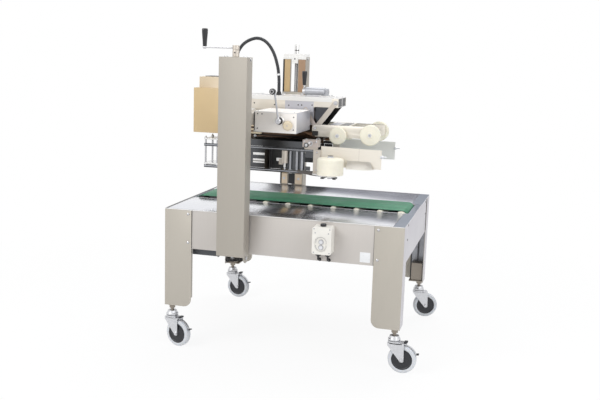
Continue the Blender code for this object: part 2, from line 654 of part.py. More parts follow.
# ---------------------------------------------------------------- head
def make_lift_carriage(head):
    """The cross beam with a carriage in each column."""
    x_low, x_high, z_low, z_high = CROSS_BEAM
    parts = [box(x_low, x_high, -0.4450, 0.4450, z_low, z_high)]
    low, high = CARRIAGE
    half = COLUMN_WIDTH / 2 - 0.005
    slot = SLOT_WIDTH / 2 - 0.003
    wall = 0.004
    cuts = [box(x_low + wall, x_high - wall, -0.4390, 0.4390, z_low + wall, z_high - wall)]
    cuts.append(rod((COLUMN_X, -0.300, z_low - 0.01), (COLUMN_X, -0.300, z_low + 0.01), 0.012, 12))
    for side in (-1, 1):
        parts.append(box(COLUMN_X - half, COLUMN_X + half, 0.4400 * side, 0.4500 * side, low, high))
        parts.append(box(COLUMN_X - slot, COLUMN_X + slot, 0.4490 * side, 0.4700 * side, low + 0.002,
                         high - 0.002))
        parts.append(box(COLUMN_X - half, COLUMN_X + half, 0.4620 * side, 0.5210 * side, low + 0.001,
                         high - 0.001))
        cuts.append(rod((COLUMN_X, SCREW_Y * side, low - 0.01), (COLUMN_X, SCREW_Y * side, high + 0.01),
                        SCREW_RADIUS + 0.0006))
    piece("lift_carriage", "stainless_panel", parts, cuts, head)


def make_head_beam(head):
    """Box beam along the head, open at both ends, with a hung plate on each side."""
    half = BEAM_HALF_WIDTH
    shell = box(BEAM_LEFT, BEAM_RIGHT, -half, half, BEAM_BOTTOM, BEAM_TOP)
    cells = []
    for side in (-1, 1):
        cells.append(box(BEAM_LEFT - 0.01, BEAM_RIGHT + 0.01, 0.0015 * side, (half - SHEET) * side,
                         BEAM_BOTTOM + SHEET, BEAM_TOP - SHEET))
    plates = []
    outline = ((BEAM_LEFT + 0.010, BEAM_TOP - 0.020), (BEAM_LEFT + 0.010, 1.0900), (-0.130, 1.0900),
               (-0.120, 1.0830), (-0.060, 1.0830), (0.055, BEAM_BOTTOM + 0.001), (0.055, BEAM_TOP - 0.020))
    for side in (-1, 1):
        plates.append(prism(outline, "Y", (half - SHEET) * side, half * side))
    piece("head_beam", "polished_steel", [shell] + plates, cells, head)


def make_housing(head):
    """The operator's-side block beside the cross beam that holds the width clamp."""
    left = CROSS_BEAM[1] + GAP
    body = box(left, 0.032, -HOUSING_FRONT, -0.110, 1.008, 1.0995)
    boss = turned(((0.019, 0), (0.019, 0.012)), (LEVER_HUB[0], -HOUSING_FRONT - 0.0115, LEVER_HUB[1]),
                  (0, 1, 0), 14)
    knob_x, knob_z = -0.006, 1.043
    knob = turned(((0.012, 0), (0.019, 0.003), (0.019, 0.010), (0.012, 0.012), (0.012, 0.020)),
                  (knob_x, -HOUSING_FRONT - 0.0195, knob_z), (0, 1, 0), 14)
    bore = rod((LEVER_HUB[0], -HOUSING_FRONT - 0.02, LEVER_HUB[1]),
               (LEVER_HUB[0], -HOUSING_FRONT + 0.02, LEVER_HUB[1]),
               0.0064, 12)
    hollow = box(left + SHEET, 0.032 - SHEET, -HOUSING_FRONT + 0.020, -0.110 - SHEET, 1.008 + SHEET,
                 1.0995 - SHEET)
    cable_hole = rod((-0.060, -0.160, 1.000), (-0.060, -0.160, 1.020), 0.011, 12)
    piece("front_housing", "stainless_panel", [body, boss, knob], [hollow, cable_hole, bore], head)


def make_clamp_lever(head):
    """Lever with a black knob that locks the width of the side guides."""
    hub_x, hub_z = LEVER_HUB
    axis = empty("clamp_axis", (hub_x, -HOUSING_FRONT - 0.024, hub_z), head)
    front = -HOUSING_FRONT - 0.034
    hub = turned(((0.011, 0), (0.013, 0.003), (0.013, 0.018), (0.011, 0.0215)), (hub_x, front, hub_z),
                 (0, 1, 0), 12)
    shank = rod((hub_x, front + 0.015, hub_z), (hub_x, -HOUSING_FRONT + 0.018, hub_z), 0.006, 12)
    tip = (hub_x - 0.020, front + 0.010, hub_z + 0.128)
    bar = rod((hub_x, front + 0.010, hub_z), tip, 0.0038, 10)
    knob = turned(((0.010, 0), (0.0135, 0.003), (0.0135, 0.022), (0.010, 0.025)),
                  (tip[0] - 0.006, tip[1] - 0.022, tip[2]), (0, 1, 0), 12)
    piece("clamp_lever", "zinc", [hub, shank, bar, knob], parent=axis)


def make_control_box(head):
    """Electrical box on the outfeed end of the beam, with a smaller relay box on top."""
    body = box(-0.512, BEAM_LEFT - 0.0007, -0.200, 0.045, 0.975, 1.1830)
    cap = box(-0.498, -0.402, -0.165, 0.020, 1.1820, 1.2340)
    plate = box(-0.486, -0.406, -0.120, -0.040, 1.2330, 1.2370)
    hollow = box(-0.510, BEAM_LEFT - 0.0027, -0.198, 0.043, 0.977, 1.1810)
    entry_x, entry_y, _ = HOSE_ROUTE[0]
    entry = rod((entry_x, entry_y, 1.170), (entry_x, entry_y, 1.190), HOSE_RADIUS - 0.002, 8)
    piece("control_box", "tan_paint", [body, cap, plate], [hollow, entry], head)


def make_hose(head):
    """Corrugated cable hose from the control box over to the beam, drawn through its route."""
    def smooth_point(position):
        """A point on the smooth curve through the route, 0 to 1 along it."""
        spans = len(HOSE_ROUTE) - 1
        scaled = min(position * spans, spans - 1e-9)
        index = int(scaled)
        t = scaled - index
        picks = [max(0, min(spans, index + offset)) for offset in (-1, 0, 1, 2)]
        p0, p1, p2, p3 = [Vector(HOSE_ROUTE[pick]) for pick in picks]
        return 0.5 * (2 * p1 + (p2 - p0) * t + (2 * p0 - 5 * p1 + 4 * p2 - p3) * t * t
                      + (3 * p1 - p0 - 3 * p2 + p3) * t * t * t)

    curve = bpy.data.curves.new("cable_hose", "CURVE")
    curve.dimensions = "3D"
    curve.bevel_depth = HOSE_RADIUS
    curve.bevel_resolution = 2
    curve.use_fill_caps = True
    curve.resolution_u = 1
    curve.render_resolution_u = 0
    curve.materials.append(finish("black_plastic"))
    spline = curve.splines.new("POLY")
    spline.points.add(HOSE_POINTS - 1)
    for index in range(HOSE_POINTS):
        spline.points[index].co = (*smooth_point(index / (HOSE_POINTS - 1)), 1.0)
    hose = bpy.data.objects.new("cable_hose", curve)
    bpy.context.scene.collection.objects.link(hose)
    hose.parent = head


def make_adjuster(head):
    """The tension cylinder on the beam, and its upright lever with a black grip."""
    axis_y, axis_z = ADJUSTER_AXIS
    axis = empty("adjuster_axis", (-0.0430, axis_y, axis_z), head)
    barrel = turned(((0.018, -0.0350), (0.0205, -0.0330), (0.0205, 0.0600), (0.018, 0.0620)),
                    (0, axis_y, axis_z),
                    (1, 0, 0), 18)
    foot = box(0.040, 0.100, axis_y - 0.030, axis_y + 0.034, BEAM_TOP + GAP, BEAM_TOP + 0.004)
    bracket = box(0.0600, 0.0780, axis_y - 0.012, axis_y + 0.012, BEAM_TOP + 0.003, axis_z + 0.016)
    saddle = box(-0.028, 0.045, axis_y - 0.012, axis_y + 0.012, BEAM_TOP + GAP, BEAM_TOP + 0.006)
    bore = rod((-0.036, axis_y, axis_z), (-0.018, axis_y, axis_z), 0.0065, 12)
    piece("adjuster_cylinder", "zinc", [barrel, foot, bracket, saddle], [bore], head)

    hub = turned(((0.013, -0.0500), (0.013, -0.0356)), (0, axis_y, axis_z), (1, 0, 0), 16)
    shank = rod((-0.040, axis_y, axis_z), (-0.020, axis_y, axis_z), 0.006, 12)
    stem = rod((-0.0430, axis_y, axis_z), (-0.0430, axis_y, 1.215), 0.0045, 10)
    grip = turned(((0.0080, 1.2050), (0.0085, 1.2080), (0.0120, 1.2560), (0.0125, 1.2660), (0.0105, 1.2720)),
                  (-0.0430, axis_y, 0), (0, 0, 1), 12)
    piece("adjuster_lever", "black_plastic", [hub, shank, stem, grip], parent=axis)


# ---------------------------------------------------------------- taping unit
def make_tape_frame(head):
    """Two side plates of the taping unit, their spacers and the two guide shafts."""
    low = 0.9430
    outline = ((-0.358, low), (0.088, low), (0.088, 0.9850), (0.040, 0.9850), (0.040, BEAM_BOTTOM - GAP),
               (-0.158, BEAM_BOTTOM - GAP), (-0.158, 1.0390), (-0.358, 1.0390))
    parts = []
    for side in (-1, 1):
        parts.append(prism(outline, "Y", HEAD_PLATE_Y * side, (HEAD_PLATE_Y + SHEET) * side))
    for x, z in ((-0.300, 1.020), (-0.140, 1.090), (0.000, 1.098), (-0.250, 0.960)):
        parts.append(rod((x, -HEAD_PLATE_Y - 0.001, z), (x, HEAD_PLATE_Y + 0.001, z), 0.006, 8))
    for x in GUIDE_SHAFT_XS:
        parts.append(rod((x, -GUIDE_SHAFT_HALF, GUIDE_SHAFT_Z), (x, GUIDE_SHAFT_HALF, GUIDE_SHAFT_Z),
                         GUIDE_SHAFT_RADIUS, 12))
    cuts = []
    for x, z in WIPE_PIVOTS.values():
        for side in (-1, 1):
            cuts.append(rod((x, 0.055 * side, z), (x, 0.068 * side, z), 0.0066, 10))
    piece("tape_head_frame", "dark_steel", parts, cuts, head)


def make_wipe_arm(head, name):
    """A swinging arm with a rubber roller that presses the tape onto the carton."""
    x, z = WIPE_PIVOTS[name]
    pivot = empty(f"{name}_wipe_pivot", (x, 0, z), head)
    roller_x, roller_z = x + WIPE_REACH[0], z + WIPE_REACH[1]
    spin = empty(f"{name}_wipe_axle", (roller_x, 0, roller_z), pivot)
    parts = []
    for side in (-1, 1):
        parts.append(prism(strap((x, z), (roller_x, roller_z), 0.010, 4), "Y", 0.040 * side, 0.043 * side))
    parts.append(rod((x, -0.0660, z), (x, 0.0660, z), 0.0060, 10))
    parts.append(rod((x, -0.0420, z), (x, 0.0420, z), 0.0085, 10))
    parts.append(rod((roller_x, -0.0460, roller_z), (roller_x, 0.0460, roller_z), 0.0040, 8))
    piece(f"{name}_wipe_arm", "zinc", parts, parent=pivot)
    profile = (
        (0.0046, -0.0385), (WIPE_ROLLER_RADIUS, -0.0385), (WIPE_ROLLER_RADIUS, 0.0385), (0.0046, 0.0385),
    )
    tube = turned(profile, (roller_x, 0, roller_z), (0, 1, 0), 16, ring=True)
    piece(f"{name}_wipe_roller", "grey_rubber", [tube], parent=spin, smooth=True)


def make_press_unit(head):
    """V stays under the beam that carry a swinging arm with two pairs of press wheels."""
    x, z = PRESS_PIVOT
    stay_y = (BEAM_HALF_WIDTH + 0.0006, BEAM_HALF_WIDTH + 0.0036)
    parts = []
    for side in (-1, 1):
        parts.append(prism(strap((x, z), (0.145, 1.134), 0.0115, 4), "Y", stay_y[0] * side, stay_y[1] * side))
        parts.append(prism(strap((x, z), (0.002, 1.100), 0.0095, 4), "Y", stay_y[0] * side, stay_y[1] * side))
        parts.append(turned(((0.0085, 0), (0.0085, 0.006)),
                            (0.145, (stay_y[1] + 0.0020) * side - 0.003, 1.134),
                            (0, 1, 0), 6))
    parts.append(rod((x, -PRESS_PLATE_Y - 0.005, z), (x, PRESS_PLATE_Y + 0.005, z), 0.0060, 10))
    piece("stay_yoke", "zinc", parts, parent=head)

    swing = empty("press_pivot", (x, 0, z), head)
    plate = [(0.040, 0.9990)] + arc((x + 0.002, z), 0.017, 180, 90, 4)
    plate += [(0.075, 1.0320), (PRESS_ARM_END - 0.006, 1.0320), (PRESS_ARM_END, 1.0260),
              (PRESS_ARM_END, 0.9840),
              (PRESS_ARM_END - 0.008, 0.9765), (0.056, 0.9765)]
    parts = []
    for side in (-1, 1):
        parts.append(prism(plate, "Y", (PRESS_PLATE_Y - SHEET) * side, PRESS_PLATE_Y * side))
    parts.append(box(0.1080, 0.2150, -PRESS_PLATE_Y + 0.001, PRESS_PLATE_Y - 0.001, 1.0290, 1.0315))
    cuts = [rod((x, -0.2, z), (x, 0.2, z), 0.0066, 10)]
    for _, wheel_x, wheel_z, _ in PRESS_WHEELS:
        cuts.append(rod((wheel_x, -0.2, wheel_z), (wheel_x, 0.2, wheel_z), 0.0066, 10))
    piece("press_arm", "polished_steel", parts, cuts, swing)

    for name, wheel_x, wheel_z, radius in PRESS_WHEELS:
        spin = empty("spin_" + name, (wheel_x, 0, wheel_z), swing)
        inner, outer = PRESS_PLATE_Y + 0.004, PRESS_PLATE_Y + 0.032
        half = [(0.0060, inner), (radius - 0.002, inner), (radius, inner + 0.002), (radius, outer),
                (0.012, outer), (0.012, outer + 0.004)]
        profile = [(r, -along) for r, along in reversed(half)] + half
        wheel = turned(profile, (wheel_x, 0, wheel_z), (0, 1, 0), 18)
        piece(name, "cream_nylon", [wheel], parent=spin, smooth=True)


# ---------------------------------------------------------------- side guides
def make_side_guide(head, name, side):
    """A width-adjustable guide on two shafts: rails, outfeed rods, guide plate, roller bracket."""
    slide = empty("slide_" + name, (0, GUIDE_Y * side, GUIDE_SHAFT_Z), head)

    def block(x_low, x_high, y_low, y_high, z_low, z_high):
        return box(x_low, x_high, y_low * side, y_high * side, z_low, z_high)

    y = GUIDE_Y
    post_left, post_right = GUIDE_POST
    parts = [
        block(GUIDE_LEFT, post_right, y - 0.006, y + 0.006, *UPPER_RAIL),
        block(GUIDE_LEFT, post_right, y - 0.006, y + 0.006, *LOWER_RAIL),
        block(post_left, post_right, y - 0.010, y + 0.010, POST_BOTTOM, UPPER_RAIL[1] + 0.001),
        block(-0.156, -0.131, y - 0.005, y + 0.005, 0.8250, 0.9140),
    ]
    cuts = []
    for shaft_x in GUIDE_SHAFT_XS:
        parts.append(block(shaft_x - 0.037, shaft_x + 0.037, y - 0.024, y + 0.024, 0.9380, 0.9710))
        parts.append(block(shaft_x - 0.030, shaft_x + 0.030, y - 0.0055, y + 0.0055, 0.9250, 0.9390))
        cuts.append(rod((shaft_x, (y - 0.03) * side, GUIDE_SHAFT_Z),
                        (shaft_x, (y + 0.03) * side, GUIDE_SHAFT_Z),
                        GUIDE_SHAFT_RADIUS + 0.0008, 10))
    for z_low, z_high in ((0.8280, 0.8340), (0.9440, 0.9500)):
        parts.append(block(GUIDE_LEFT, -0.385, y - 0.098, y + 0.006, z_low, z_high))
    for rod_x in (-0.449, -0.391):
        for inset in (0.0, 0.090):
            place = (y - inset) * side
            parts.append(rod((rod_x, place, 0.8200), (rod_x, place, 0.9560), 0.0045, 7))
            for z_low, z_high in ((0.9500, 0.9625), (0.8280, 0.8165)):
                tip = turned(((0.0075, 0), (0.002, 0.0125)), (rod_x, place, z_low), (0, 0, z_high - z_low), 6)
                parts.append(tip)
    parts.append(turned(((0.0150, 0), (0.0150, 0.058)), (-0.059, y * side, 0.8560), (0, 0, 1), 12))
    parts.append(rod((-0.059, y * side, 0.8200), (-0.059, y * side, 0.9200), 0.0045, 8))
    plate = [(post_right - 0.001, 0.8530), (GUIDE_END, 0.8530), (GUIDE_END, 0.9400),
             (post_right - 0.001, 0.9440)]
    parts.append(prism(plate, "Y", (y - 0.0015) * side, (y + 0.0015) * side))
    ski = [(0.240, y - 0.001), (0.240, y + 0.058)] + arc((0.290, y - 0.001), 0.072, 60, 8,
                                                         4) + [(0.361, y - 0.001)]
    parts.append(prism([(a, b * side) for a, b in ski], "Z", 0.8520, 0.8550))
    roller_x, roller_y = SIDE_ROLLER
    heel = [(post_left + 0.003, y - 0.006), (post_left + 0.003, y + 0.030),
            (roller_x - 0.030, roller_y + 0.016)]
    heel += arc((roller_x, roller_y), 0.026, 140, -40, 5) + [(post_right + 0.030, y - 0.006)]
    parts.append(prism([(a, b * side) for a, b in heel], "Z", *HEEL))
    low, high = SIDE_ROLLER_STEM
    parts.append(rod((roller_x, roller_y * side, low), (roller_x, roller_y * side, high), 0.0080, 10))
    for z_low, z_high in ((high - 0.0020, high + 0.0055), (low + 0.0055, low - 0.0020)):
        parts.append(turned(((0.0135, 0), (0.0135, 0.0075)), (roller_x, roller_y * side, z_low),
                            (0, 0, z_high - z_low), 6))
    nose = turned(((0.007, 0), (0.007, 0.012), (0.002, 0.030)), (GUIDE_END - 0.006, y * side, 0.9100),
                  (1, 0, 0), 8)
    parts.append(nose)
    piece(name, "stainless_panel", parts, cuts, slide)

    spin = empty("spin_compression_roller_" + name[-4:], (roller_x, roller_y * side, 0.850), slide)
    radius = SIDE_ROLLER_RADIUS
    low, high = SIDE_ROLLER_Z
    profile = (
        (0.0090, low), (radius, low), (radius, high - 0.009), (radius - 0.008, high - 0.003), (0.018, high),
        (0.0090, high),
    )
    drum = turned(profile, (roller_x, roller_y * side, 0), (0, 0, 1), 24, ring=True)
    piece("compression_roller_" + name.split("_")[-1], "cream_nylon", [drum], parent=spin, smooth=True)


# ---------------------------------------------------------------- whole machine
def main():
    for old in list(bpy.data.objects):
        bpy.data.objects.remove(old)
    frame = empty("machine", (0, 0, 0))
    make_aprons(frame)
    make_end_panels(frame)
    make_legs(frame)
    make_table_plates(frame)
    for caster in CASTERS:
        make_caster(frame, *caster)
    make_conveyor(frame)
    make_motor(frame)
    make_columns(frame)
    make_screws(frame)
    make_switch(frame)

    head = empty("head_lift", (0, 0, 0), frame)
    make_lift_carriage(head)
    make_head_beam(head)
    make_housing(head)
    make_clamp_lever(head)
    make_control_box(head)
    make_hose(head)
    make_adjuster(head)
    make_tape_frame(head)
    make_wipe_arm(head, "front")
    make_wipe_arm(head, "rear")
    make_press_unit(head)
    make_side_guide(head, "side_guide_near", -1)
    make_side_guide(head, "side_guide_far", 1)
    frame.location = (-ORIGIN_X, 0, 0)


main()
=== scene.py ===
"""Looks of a carton sealer: its fine surfaces, fastenings, finishes, light and camera.

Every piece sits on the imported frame, in metres, +Z up. X runs along the belt and the
operator stands at -Y. Pieces are drawn from the table's middle: at() gives their place.
"""
import json
import math

import bmesh
import bpy
from mathutils import Matrix, Vector


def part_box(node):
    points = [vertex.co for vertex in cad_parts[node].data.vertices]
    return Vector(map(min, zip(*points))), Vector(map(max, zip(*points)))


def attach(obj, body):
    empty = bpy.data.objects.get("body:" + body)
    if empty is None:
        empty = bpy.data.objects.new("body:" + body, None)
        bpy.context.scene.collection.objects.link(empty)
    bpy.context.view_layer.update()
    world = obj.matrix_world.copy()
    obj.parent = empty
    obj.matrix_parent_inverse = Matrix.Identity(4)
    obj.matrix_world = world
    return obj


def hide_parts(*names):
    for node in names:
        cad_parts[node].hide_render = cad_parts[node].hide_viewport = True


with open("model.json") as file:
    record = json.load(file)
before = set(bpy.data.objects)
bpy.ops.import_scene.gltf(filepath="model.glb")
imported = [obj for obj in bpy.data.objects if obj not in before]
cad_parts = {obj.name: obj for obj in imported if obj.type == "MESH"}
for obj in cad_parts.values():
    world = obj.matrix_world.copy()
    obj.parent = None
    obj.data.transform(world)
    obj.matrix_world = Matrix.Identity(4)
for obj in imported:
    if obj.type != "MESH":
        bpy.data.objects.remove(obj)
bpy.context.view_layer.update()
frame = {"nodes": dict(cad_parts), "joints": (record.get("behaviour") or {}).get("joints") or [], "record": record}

RECORD = frame["record"]
BODY_OF = {node: body for body, nodes in RECORD["behaviour"]["bodies"].items() for node in nodes}
JOINT = {joint["name"]: joint for joint in frame["joints"]}
PLATE_LOW, PLATE_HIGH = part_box("table_plate_front")
TABLE_MIDDLE = (PLATE_LOW.x + PLATE_HIGH.x) / 2
CORNERS = ("front_left", "front_right", "rear_left", "rear_right")
SIDES = (-1, 1)
QUARTERS = [(side_x, side_y) for side_x in SIDES for side_y in SIDES]
X_AXIS, Y_AXIS, Z_AXIS = Vector((1, 0, 0)), Vector((0, 1, 0)), Vector((0, 0, 1))
SCREW_X, SCREW_Y = -0.205, 0.4915  # the lifting screws stand at minus and plus SCREW_Y


def at(x, y, z):
    """A point measured from the table's middle along the belt."""
    return Vector((x + TABLE_MIDDLE, y, z))


def wired(tree, kind, inputs=None, **settings):
    """Adds a node to a tree. An input takes a value or another node's output."""
    made = tree.nodes.new(kind)
    for label, value in settings.items():
        setattr(made, label, value)
    for label, value in (inputs or {}).items():
        if isinstance(value, bpy.types.NodeSocket):
            tree.links.new(value, made.inputs[label])
        else:
            made.inputs[label].default_value = value
    return made


def linked(name, data):
    """A new object in the scene."""
    made = bpy.data.objects.new(name, data)
    bpy.context.scene.collection.objects.link(made)
    return made


# ------------------------------------------------------------------ finishes
class Finish:
    """One material: a Principled shader, with short calls for the nodes that feed it."""

    def __init__(self, name, colour, roughness, metallic=0.0):
        self.material = bpy.data.materials.new(name)
        self.material.use_nodes = True
        self.tree = self.material.node_tree
        self.shader = self.tree.nodes["Principled BSDF"]
        self.colour = colour
        self.set("Base Color", (*colour, 1.0))
        self.set("Roughness", roughness)
        self.set("Metallic", metallic)
        self.material.diffuse_color = (*colour, 1.0)
        self.place = wired(self.tree, "ShaderNodeTexCoord").outputs["Object"]

    def set(self, socket, value):
        self.shader.inputs[socket].default_value = value

    def fed(self, kind, output, inputs, **settings):
        return wired(self.tree, "ShaderNode" + kind, inputs, **settings).outputs[output]

    def stretched(self, scale):
        """Object coordinates, stretched by a scale for each axis."""
        return self.fed("Mapping", "Vector", {"Vector": self.place, "Scale": scale})

    def noise(self, scale, detail=3.0, vector=None):
        return self.fed("TexNoise", "Fac", {"Vector": vector or self.place, "Scale": scale, "Detail": detail})

    def cells(self, scale):
        return self.fed("TexVoronoi", "Distance", {"Vector": self.place, "Scale": scale})

    def waves(self, scale, direction):
        return self.fed("TexWave", "Fac", {"Vector": self.place, "Scale": scale}, bands_direction=direction)

    def tint(self, value, darker, lighter, start=0.3, end=0.7):
        """Colours the surface between two shades of its own colour."""
        ramp = wired(self.tree, "ShaderNodeValToRGB", {"Fac": value})
        low, high = ramp.color_ramp.elements
        for stop, position, factor in ((low, start, darker), (high, end, lighter)):
            stop.position = position
            stop.color = (*[min(1.0, part * factor) for part in self.colour], 1.0)
        self.tree.links.new(ramp.outputs["Color"], self.shader.inputs["Base Color"])
        return ramp

    def rough(self, value, low, high):
        """Lets the roughness run from low to high with a value."""
        spread = self.fed("MapRange", "Result", {"Value": value, "From Min": 0.3, "From Max": 0.7,
                                                 "To Min": low, "To Max": high})
        self.tree.links.new(spread, self.shader.inputs["Roughness"])

    def bumps(self, heights):
        """Stacks height maps: each is (value, strength, depth in metres)."""
        below = {}
        for value, strength, depth in heights:
            inputs = {"Height": value, "Strength": strength, "Distance": depth, **below}
            below["Normal"] = self.fed("Bump", "Normal", inputs)
        self.tree.links.new(below["Normal"], self.shader.inputs["Normal"])


def brushed_sheet(name, colour, roughness, lines, metallic=0.72):
    """Sheet steel with fine parallel brush lines and faint large clouds of handling marks."""
    made = Finish(name, colour, roughness, metallic)
    brush = made.noise(1.0, 4.0, made.stretched(lines))
    clouds = made.noise(5.0, 4.0)
    made.tint(brush, 0.975, 1.025)
    made.rough(clouds, roughness - 0.04, roughness + 0.06)
    made.bumps([(brush, 0.06, 0.0003)])
    return made.material


def polished_sheet(name, colour, roughness):
    """Mirror sheet with hairline scratches and soft smudges."""
    made = Finish(name, colour, roughness, 1.0)
    smudge = made.noise(7.0, 5.0)
    hair = made.noise(1.0, 2.0, made.stretched((8.0, 700.0, 700.0)))
    made.tint(smudge, 0.97, 1.02)
    made.rough(smudge, roughness - 0.01, roughness + 0.025)
    made.bumps([(hair, 0.035, 0.0002)])
    return made.material


def plated(name, colour, roughness, metallic=1.0):
    """Bright zinc or chrome plate with a slight spangle."""
    made = Finish(name, colour, roughness, metallic)
    spangle = made.cells(160.0)
    made.tint(spangle, 0.93, 1.04, 0.1, 0.8)
    made.rough(made.noise(60.0), roughness - 0.05, roughness + 0.07)
    made.bumps([(made.noise(400.0, 2.0), 0.05, 0.0002)])
    return made.material


def painted(name, colour, roughness, peel=0.08):
    """Sprayed enamel: orange peel, with slightly uneven gloss."""
    made = Finish(name, colour, roughness)
    made.tint(made.noise(9.0, 5.0), 0.96, 1.04)
    made.rough(made.noise(30.0), roughness - 0.05, roughness + 0.06)
    made.bumps([(made.noise(420.0, 2.0), peel, 0.0004)])
    made.set("Coat Weight", 0.25)
    made.set("Coat Roughness", 0.2)
    return made.material


def moulded(name, colour, roughness, grain=0.06):
    """Moulded plastic with a fine spark-eroded grain."""
    made = Finish(name, colour, roughness)
    made.tint(made.noise(25.0, 4.0), 0.96, 1.04)
    made.rough(made.noise(80.0), roughness - 0.05, roughness + 0.06)
    made.bumps([(made.noise(1100.0, 2.0), grain, 0.0003)])
    return made.material


def rolled(name, colour, roughness):
    """Polyurethane or nylon of wheels and rollers: satin, with faint scuffs around."""
    made = Finish(name, colour, roughness)
    made.tint(made.noise(35.0, 5.0), 0.95, 1.03)
    made.rough(made.noise(60.0, 4.0), roughness - 0.06, roughness + 0.1)
    made.bumps([(made.noise(500.0, 3.0), 0.05, 0.0003)])
    made.set("Subsurface Weight", 0.08)
    made.set("Subsurface Radius", (0.004, 0.003, 0.002))
    return made.material


def belt_surface():
    """Green PVC belt: a smooth satin face over a fine woven carrier."""
    made = Finish("belt_green_pvc", (0.016, 0.19, 0.09), 0.48)
    length = made.noise(1.0, 4.0, made.stretched((2.5, 26.0, 26.0)))
    made.tint(length, 0.82, 1.2)
    made.rough(made.noise(14.0, 4.0), 0.42, 0.56)
    warp = made.waves(210.0, "X")
    weft = made.waves(210.0, "Y")
    made.bumps([(warp, 0.05, 0.0002), (weft, 0.05, 0.0002), (made.noise(300.0), 0.04, 0.0003)])
    return made.material


def black_band():
    """Corrugated conduit plastic: near-black, with a soft sheen and dust in the grooves."""
    made = Finish("hose_black", (0.018, 0.02, 0.024), 0.38)
    made.tint(made.noise(120.0, 4.0), 0.8, 1.5)
    made.rough(made.noise(90.0), 0.3, 0.48)
    made.bumps([(made.noise(700.0), 0.05, 0.0003)])
    return made.material


def streaked_plate():
    """Polished dark plate with brown lengthwise bands."""
    made = Finish("taping_plate_dark", (0.05, 0.046, 0.048), 0.2, 0.85)
    bands = made.noise(1.0, 3.0, made.stretched((3.0, 20.0, 75.0)))
    ramp = made.tint(bands, 0.25, 1.3, 0.35, 0.62)
    brown = ramp.color_ramp.elements.new(0.56)
    brown.color = (0.12, 0.066, 0.038, 1.0)
    made.rough(made.noise(30.0), 0.12, 0.26)
    made.bumps([(bands, 0.08, 0.0008)])
    return made.material


